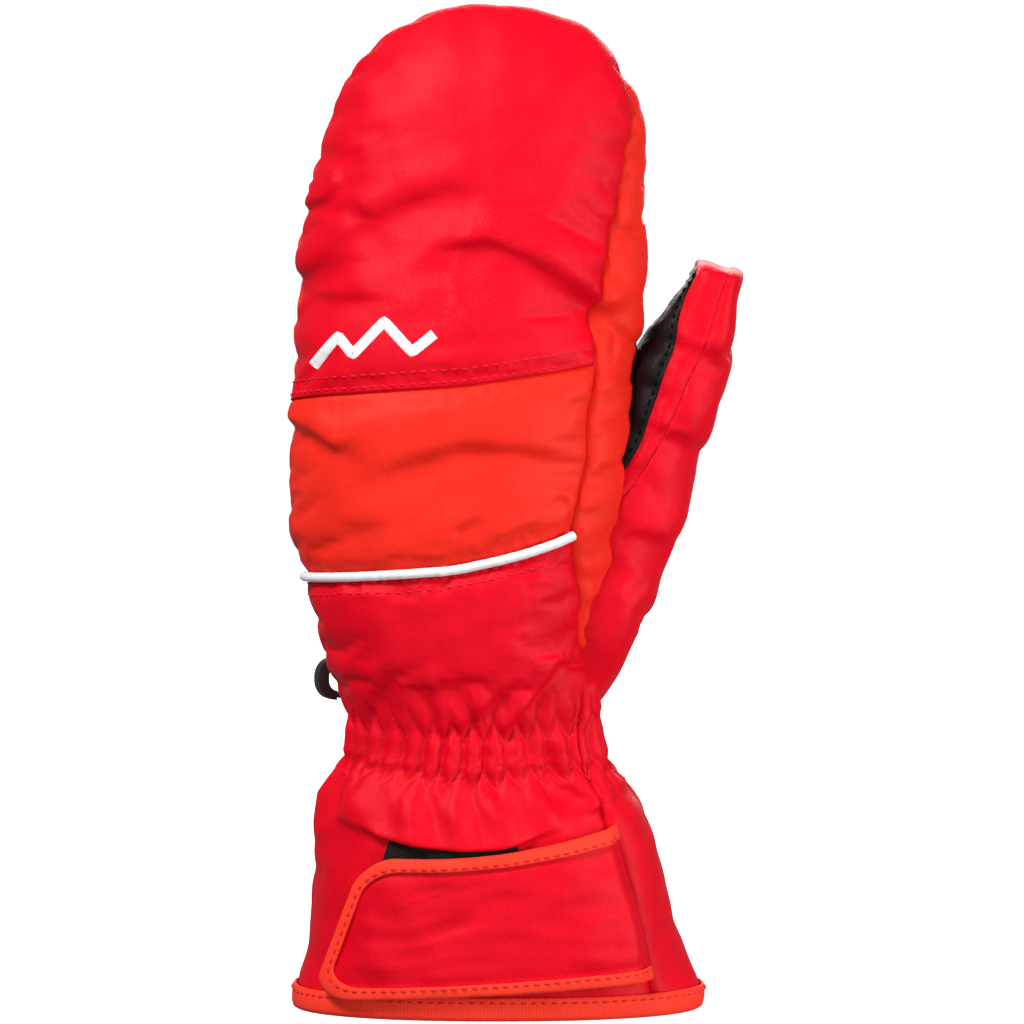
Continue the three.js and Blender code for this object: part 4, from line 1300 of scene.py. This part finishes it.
def add_lining(node, slot, bag, grid, high, low, clear, body):
    """A lining all round a bag, from `high` to `low` mm under its skin."""
    outer = bag.place(*grid, -high)
    keep = ring_cells(clear(outer))
    lining = slab(node + "_bag", outer, bag.place(*grid, -low), keep=keep, ring=True, zipped=True)
    return dress(lining, slot, body, node=node)


def padding_inner(height):
    """How deep the padding's inner side is."""
    return 2.9 + lerp(2.2, 4.5, smoothstep(height, 66, 106))


for side, name in ((-1, "padding_back"), (1, "padding_palm")):
    way, height = face_grid(hand, side, constant(89.3), constant(HEM_LINE), 60, 120, dome_rows=24)
    outer = hand.place(way, height, -PADDING_DEPTH)
    keep = cells(clear_of_thumb(outer)) if side == 1 else None
    pad = slab(name + "_wadding", outer, hand.place(way, height, -padding_inner(height)), keep=keep)
    dress(pad, "wadding", "mitten", node=name)

grid = bag_grid(hand, HEM_LINE, 56, 110, 22)
depth = padding_inner(grid[1])
for name, slot, high, low in (
    ("waterproof_insert", "membrane", 0.6, 1.1),
    ("fleece_liner", "fleece", 1.7, 2.7),
):
    add_lining(name, slot, hand, grid, depth + high, depth + low, clear_of_thumb, "mitten")

angles = np.linspace(-180, 180, 241)[:-1]
height = np.linspace(ELASTIC_BAND["low"], ELASTIC_BAND["high"], 17)[:, None] + 0 * angles
way = aim(angles + 0 * height, 0.0)
outer, inner = (hand.place(way, height, -ELASTIC_BAND[side]) for side in ("outer", "inner"))
elastic = slab("wrist_elastic_band", outer, inner, ring=True)
dress(elastic, "elastic", "mitten", node="wrist_elastic")

way, height = face_grid(hand, 1, constant(12.0), constant(8.0), 24, 24, head=constant(34.0))
low = padding_inner(height) + 2.7
label = slab("care_label_tag", hand.place(way, height, -low - 0.8), hand.place(way, height, -low - 0.4))
fix_normals(label)
dress(label, "label", "mitten", node="care_label")

# ---------------------------------------------------------------- hem, piping and sewing

# Section of the tape folded round the hem: how far out of the skin, and height.
HEM_SECTION = [
    [0.7, 6.6], [1.15, 6.75], [1.5, 6.4], [1.65, 5.4], [1.7, 3.5], [1.6, 1.6], [1.2, 0.5],
    [0.4, 0.05], [-2.5, 0.0], [-5.5, 0.0], [-8.0, 0.05], [-8.9, 0.5], [-9.3, 1.6], [-9.3, 4.0],
    [-9.1, 6.3], [-8.75, 6.5], [-8.4, 6.3], [-8.35, 4.0], [-8.3, 1.9], [-7.8, 1.15], [-5.5, 1.0],
    [-2.5, 1.0], [0.1, 1.1], [0.6, 1.9], [0.75, 3.5], [0.75, 5.4],
]
HEM_STITCH = dict(out=1.72, height=5.3)
way = aim(np.linspace(180, 540, 361)[:-1], 0.0)
rings = np.stack([hand.place(way, z, out) for out, z in HEM_SECTION], axis=1)
hem = tube_mesh("hem_binding_tape", rings, loop=True)
dress(hem, "orange_tape", "mitten", node="hem_binding")
row = hand.place(way, HEM_STITCH["height"], HEM_STITCH["out"])
normal = hand.place(way, HEM_STITCH["height"], HEM_STITCH["out"] + 1) - row
closed_row = [np.concatenate([line, line[:1]]) for line in (row, normal)]
dress(stitches("hem_thread", [closed_row]), "orange_tape", "mitten", look="orange_thread")


def piping_path(lift):
    across = np.linspace(-0.985, 0.985, 260)
    height = piping_seam(across)
    over = np.where(across < 0, 180.0, 0.0)
    return hand.place(aim(np.abs(across) * back_seam(height, over), over), height, lift)


path = piping_path(0.35)
piping = cord("seam_piping_cord", path, PIPING_RADIUS, piping_path(1.35) - path, sides=14)
dress(piping, "white_cord", "mitten", node="seam_piping")

# Thread, its panel, slot and look, and its rows as an edge and the distance from it.
SEWING = [
    (
        "upper_seam_thread", "finger_back_panel", "red_fabric", "red_thread",
        [("bottom", 1.5), ("bottom", 5.0)],
    ),
    ("lower_seam_thread", "cuff_back_panel", "red_fabric", "red_thread", [("top", 2.1), ("top", 5.2)]),
    ("palm_seam_thread", "palm_panel", "black_grip", "black_thread", [("left", 1.6), ("right", 1.6)]),
    ("wrist_seam_thread", "palm_panel", "black_grip", "black_thread", [("bottom", 2.0)]),
]
for name, node, slot, look, lines in SEWING:
    rows = [seam_row(grids[node], edge, distance) for edge, distance in lines]
    dress(stitches(name, rows), slot, "mitten", look=look)
rows = [seam_row(patch_outer, edge, 2.2, ends=2.4) for edge in ("left", "right", "bottom", "top")]
dress(stitches("palm_grip_patch_thread", rows, radius=0.3), "black_grip", "mitten", look="black_thread")


def elastic_row(upper):
    """Zigzag thread along one edge of the elastic."""
    way = aim(np.linspace(-180, 180, 1201)[:-1], 0.0)
    phase = gather_run(way) / WRIST_PITCH
    zigzag = 1 - 4 * np.abs(phase - np.round(phase))
    top, low = gather_rows(way)
    height = top + ZIGZAG * zigzag if upper else low - ZIGZAG * zigzag
    path = hand.place(way, height, 0.15)
    return path, hand.place(way, height, 1.15) - path


for name, upper in (("elastic_thread_upper", True), ("elastic_thread_lower", False)):
    path, out = elastic_row(upper)
    thread = cord(name, path, 0.2, out, sides=6, loop=True)
    dress(thread, "red_fabric", "mitten", look="red_thread")


corners = [np.linspace(a, b, 24, endpoint=False) for a, b in zip(MARK, MARK[1:])]
line = np.concatenate([*corners, [MARK[-1]]])
heading = unit(np.gradient(line, axis=0))
sideways = np.stack([-heading[:, 1], heading[:, 0]], -1)
layers = []
for offset, lift in MARK_SECTION:
    x, height = (line + sideways * offset * MARK_WIDTH / 2).T
    layers.append(hand.place(front_way(x, height), height, lift))
top = np.stack(layers)
x, height = line.T
low = hand.place(front_way(x, height), height, -0.1)
mark = slab("ridge_mark", top, lerp(top, low, 0.5))
fix_normals(mark)
dress(mark, "white_cord", "mitten", look="mark_thread")

# ---------------------------------------------------------------- thumb

THUMB_PANELS = [
    ("thumb_back_panel", "red_fabric", "lrt",
     face_grid(thumb, -1, shaved(thumb_back_seam, 0.3), constant(THUMB_FOOT), 56, 100, dome_rows=24)),
    ("thumb_grip_panel", "black_grip", "lrt",
     face_grid(thumb, 1, from_palm(thumb_grip_seam, 0.3), constant(THUMB_FOOT), 56, 100, dome_rows=24)),
    ("thumb_side_strip", "red_fabric", "bt",
     strip_grid(thumb, thumb_back_seam, thumb_grip_seam, THUMB_FOOT, 100, 64, 22)),
]
thumb_pieces = []
for number, (name, slot, edges, grid) in enumerate(THUMB_PANELS):
    thumb_pieces.append(add_panel(
        name, slot, grid, 700 + 50 * number, keep=clear_of_hand, bag=thumb, body=None,
        edges=edges, wall=THUMB_SHELL, deep=0.32, pucker=0.7,
    ))
rows = [seam_row(grids["thumb_grip_panel"], edge, 1.5) for edge in ("left", "right")]
thread = stitches("thumb_grip_thread", rows, radius=0.3)
thumb_pieces.append(dress(thread, "black_grip", None, look="black_thread"))

grid = bag_grid(thumb, THUMB_FOOT, 30, 60, 14)
for name, slot, high, low, fill in (
    ("thumb_padding", "wadding", 3.3, 4.6, 0.6),
    ("thumb_insert", "membrane", 4.9, 5.3, 0.3),
    ("thumb_liner", "fleece", 5.5, 6.2, 0.4),
):
    thumb_pieces.append(add_lining(name, slot, thumb, grid, high, low, clear_of_hand, None))


def frame_vector(point):
    """A point in millimetres as a place in the frame."""
    return Vector(to_frame(point)[0])


for piece in thumb_pieces:
    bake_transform(piece)

# ---------------------------------------------------------------- closure flap


def flap_xz(u, v):
    """x and height of a place on the flap, u from its free to its sewn end and v from bottom to top."""
    low, high = FLAP_BOTTOM, FLAP_TOP
    x = lerp(lerp(low["free"], high["free"], v), lerp(low["sewn"], high["sewn"], v), u)
    z = lerp(lerp(low["free_z"], low["sewn_z"], u), lerp(high["free_z"], high["sewn_z"], u), v)
    return x, z - FLAP_SAG * v * np.sin(math.pi * u)


def flap_place(u, v, lift):
    """A point of the flap, `lift` out of the hand's skin, which it nears at its sewn end."""
    x, height = flap_xz(u, v)
    tucked = 1 - 0.72 * smoothstep(u, 0.93, 1.0)
    wave = 0.3 * (1 + np.sin(x / 8.5 + 0.6) * np.sin(height / 7.0 + 1.0)) * smoothstep(u, 0.02, 0.2)
    return hand.place(front_way(x, height), height, (lift + wave) * tucked)


def flap_columns(columns, corner_columns):
    """The flap's outline by column from its free end: u, and how far v is from either edge."""
    corner_u, corner_v = FLAP_CORNER
    turn = np.linspace(0, math.pi / 2, corner_columns + 1)
    straight = np.linspace(corner_u, 1, columns - corner_columns + 1)[1:]
    u = np.concatenate([corner_u * (1 - np.cos(turn)), straight])
    v = np.concatenate([corner_v * (1 - np.sin(turn)), 0 * straight])
    return u, v


def flap_inside(u, v, margin, lift):
    """The same, on a flap that is smaller by a margin at its free end and its edges."""
    in_u, in_v = margin / FLAP_SIZE[0], margin / FLAP_SIZE[1]
    return flap_place(lerp(in_u, 1.0, u), lerp(in_v, 1 - in_v, v), lift)


columns_u, columns_v = flap_columns(110, 22)
share = np.linspace(0, 1, 57)[:, None]
grid_u = columns_u + 0 * share
grid_v = lerp(columns_v, 1 - columns_v, share)
edge_distance = np.minimum(
    np.minimum(share, 1 - share) * (1 - 2 * columns_v) * FLAP_SIZE[1], grid_u * FLAP_SIZE[0]
)
crinkle = np.stack([grid_u * 34.0, 0 * grid_u, grid_v * 40.0 + 2.5 * np.sin(grid_u * 9.0)], -1)
crease = np.abs(lumps(crinkle, 11.0, 21)) * smoothstep(lumps(crinkle, 30.0, 22), -0.4, 0.5)
uneven = 0.24 * lumps(crinkle, 8.0, 20) - 0.36 * np.minimum(crease, 0.8)
pillow = 0.85 * (1 - np.exp(-np.maximum(edge_distance - 3.6, 0) / 2.4))
pillow = pillow + smoothstep(edge_distance, 4, 9) * uneven
flap_pieces = []
for name, (low, high), slot, rise, fill in (
    ("flap_panel", FLAP_PANEL, "red_fabric", pillow, 0.3),
    ("flap_backing", FLAP_BACKING, "black_lining", 0.0, None),
):
    outer = flap_inside(grid_u, grid_v, FLAP_MARGIN, high + rise)
    inner = flap_inside(grid_u, grid_v, FLAP_MARGIN, low + rise)
    flap_pieces.append(dress(slab(name + "_sheet", outer, inner), slot, None, node=name))

low, high, wide, wall = (FLAP_TAPE[key] for key in ("low", "high", "width", "wall"))
# Section of the tape folded round the flap's edge: how far in from the edge, and out of the skin.
TAPE_SECTION = [
    [wide, high - 0.12], [wide - 0.4, high], [1.0, high - 0.05], [0.35, 5.1], [0, 3.8], [0.35, 2.5],
    [1.0, low + 0.05], [wide - 0.4, low], [wide, low + 0.12], [wide, low + wall], [1.2, low + wall],
    [0.8, 3.8], [1.2, high - wall], [wide, high - wall],
]
outline_u = np.concatenate([columns_u[::-1], columns_u])
outline_v = np.concatenate([columns_v[::-1], 1 - columns_v])
rings = np.stack([flap_inside(outline_u, outline_v, margin, lift) for margin, lift in TAPE_SECTION], axis=1)
flap_pieces.append(dress(tube_mesh("flap_binding_tape", rings), "orange_tape", None, node="flap_binding"))
row = flap_inside(outline_u, outline_v, wide - 0.9, high + 0.02)
normal = flap_inside(outline_u, outline_v, wide - 0.9, high + 1.0) - row
thread = stitches("flap_binding_thread", [(row[2:-2], normal[2:-2])], radius=0.28)
flap_pieces.append(dress(thread, "orange_tape", None, look="red_thread"))

# The seam that holds the flap's cloth to the cuff: points at its ends and middle, its way, and the way
# across the cloth from it.
sewn_low, sewn, sewn_high = (flap_place(np.array(1.0), v, 3.0) for v in (0.0, 0.5, 1.0))
seam_way = unit(sewn_high - sewn_low)
from_seam = flap_place(np.array(0.93), 0.5, 3.0) - sewn
from_seam = unit(from_seam - seam_way * (from_seam @ seam_way))
for piece in flap_pieces:
    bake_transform(piece)


def brow_share(u):
    """The flap coordinate v that reaches the fold over the loop patch."""
    v = np.full(u.shape, 1.0)
    for _ in range(12):
        x, height = flap_xz(u, v)
        v = v + (brow(x) - height) / FLAP_SIZE[1]
    return v - 0.004


def flap_patch(name, lifts, span_u, span_v, columns, rows, rough):
    """A patch on or under the flap, whose top may follow the fold over it."""
    u = np.linspace(*span_u, columns + 1) + np.zeros((rows + 1, 1))
    top = span_v[1] + 0 * u[0] if span_v[1] else brow_share(u[0])
    v = lerp(span_v[0], top, np.linspace(0, 1, rows + 1)[:, None]) + 0 * u
    pile = rng.uniform(-rough, rough, u.shape)
    return slab(name, flap_place(u, v, lifts[1] + pile), flap_place(u, v, lifts[0]))


patch = flap_patch("cuff_loop_patch_pile", LOOP_PATCH, (0.05, 0.6), (0.14, None), 150, 110, 0.2)
dress(patch, "black_loop", "mitten", node="cuff_loop_patch")

patch = flap_patch("flap_hook_patch_base", HOOK_PATCH, (0.16, 0.46), (0.2, 0.8), 30, 30, 0.0)
dress(patch, "black_hook", "closure_flap", node="flap_hook_patch")

# A hook's stem, bent over at its tip, as a step in u and how far out of the skin, and its square section.
HOOK_STEM = [(0.0, 2.05), (0.0, 1.75), (0.0035, 1.6), (0.006, 1.75)]
HOOK_SECTION = 0.12 * np.array([[-1, 0, -1], [1, 0, -1], [1, 0, 1], [-1, 0, 1]])
hooks, faces = [], []
for v in np.linspace(0.24, 0.76, 16):
    for u in np.linspace(0.175, 0.445, 18):
        faces += tube_faces(len(HOOK_STEM), 4, start=4 * len(hooks))
        for step, lift in HOOK_STEM:
            hooks.append(flap_place(np.array(u + step), v, lift) + HOOK_SECTION)
hook_mesh = make_mesh("flap_hooks", np.concatenate(hooks), faces)
fix_normals(hook_mesh)
dress(hook_mesh, "black_hook", "closure_flap")

# ---------------------------------------------------------------- clip


def bevelled(node, name, slot, body, width):
    """A copy of a CAD piece with its edges rounded."""
    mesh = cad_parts[node].data.copy()
    obj = new_object(name, mesh)
    work = bmesh.new()
    work.from_mesh(mesh)
    bmesh.ops.remove_doubles(work, verts=work.verts, dist=1e-6)
    bmesh.ops.dissolve_limit(work, angle_limit=math.radians(1), verts=work.verts, edges=work.edges)
    work.to_mesh(mesh)
    work.free()
    bevel = obj.modifiers.new("bevel", "BEVEL")
    bevel.width = width / 1000
    bevel.segments = 3
    bevel.limit_method = "ANGLE"
    bevel.angle_limit = math.radians(35)
    apply_modifiers(obj)
    shade_smooth(obj.data)
    obj.data.set_sharp_from_angle(angle=math.radians(40))
    return dress(obj, slot, body, node=node)


bevelled("clip_hook", "clip_hook_moulding", "clip_plastic", "clip", 0.35)
bevelled("clip_gate", "clip_gate_moulding", "clip_plastic", "clip_gate", 0.25)
bevelled("clip_tab", "clip_tab_webbing", "webbing", "mitten", 0.2)

# ---------------------------------------------------------------- stage, light and camera


def sweep():
    """A round white floor that curves up into a wall all round the object."""
    radius, curve, height, sides = 5.0, 1.5, 6.0, 64
    profile = [(0.02, 0.0), (1.0, 0.0), (radius - curve, 0.0)]
    for turn in np.linspace(0, math.pi / 2, 13)[1:]:
        profile.append((radius - curve + curve * math.sin(turn), curve - curve * math.cos(turn)))
    profile.append((radius, height))
    turns = np.arange(sides) * 2 * math.pi / sides
    points = [(r * math.cos(turn), r * math.sin(turn), z) for r, z in profile for turn in turns]
    faces = [tuple(range(sides))]
    for j in range(len(profile) - 1):
        for k in range(sides):
            a, b = j * sides + k, j * sides + (k + 1) % sides
            faces.append((a, a + sides, b + sides, b))
    mesh = bpy.data.meshes.new("sweep")
    mesh.from_pydata(points, [], faces)
    shade_smooth(mesh)
    obj = new_object("sweep", mesh)
    nodes = Nodes("sweep")
    nodes.shader.inputs["Base Color"].default_value = (0.85, 0.85, 0.86, 1)
    nodes.shader.inputs["Emission Color"].default_value = (1, 1, 1, 1)
    nodes.shader.inputs["Emission Strength"].default_value = 0.85
    mesh.materials.append(nodes.finish(0.9, specular=0.0))
    obj.visible_diffuse = obj.visible_glossy = obj.visible_shadow = False


sweep()


def aimed(name, data, place):
    """A light or camera that looks at the middle of the mitten."""
    obj = new_object(name, data)
    obj.location = place
    obj.rotation_euler = (MIDDLE - place).to_track_quat("-Z", "Y").to_euler()
    return obj


def area_light(name, offset, size, power):
    light = bpy.data.lights.new(name, "AREA")
    light.shape = "RECTANGLE"
    light.size, light.size_y = size
    light.energy = power
    aimed(name, light, MIDDLE + Vector(offset))


MIDDLE = frame_vector([12, 0, 141.5])
area_light("key", (-0.65, -0.75, 1.1), (0.5, 0.5), 22.5)
area_light("fill", (1.25, -0.8, 0.1), (0.7, 1.0), 18)
area_light("front", (-0.3, -1.5, -0.3), (0.8, 0.8), 4)
area_light("back", (0.1, 1.6, 0.5), (1.0, 0.8), 13)

world = bpy.context.scene.world or bpy.data.worlds.new("world")
bpy.context.scene.world = world
world.use_nodes = True
background = world.node_tree.nodes["Background"]
background.inputs["Color"].default_value = (1, 1, 1, 1)
background.inputs["Strength"].default_value = 0.2

CAMERA_DISTANCE = 1.6
CAMERA_ELEVATION = math.radians(3.5)
VIEW_WIDTH = 0.292
SENSOR_WIDTH = 36

camera_data = bpy.data.cameras.new("camera")
camera_data.sensor_width = SENSOR_WIDTH
camera_data.lens = SENSOR_WIDTH / (VIEW_WIDTH / CAMERA_DISTANCE)
camera_data.dof.use_dof = False
away = Vector((0, -math.cos(CAMERA_ELEVATION), math.sin(CAMERA_ELEVATION)))
bpy.context.scene.camera = aimed("camera", camera_data, MIDDLE + away * CAMERA_DISTANCE)

bpy.context.scene.view_settings.view_transform = "Standard"
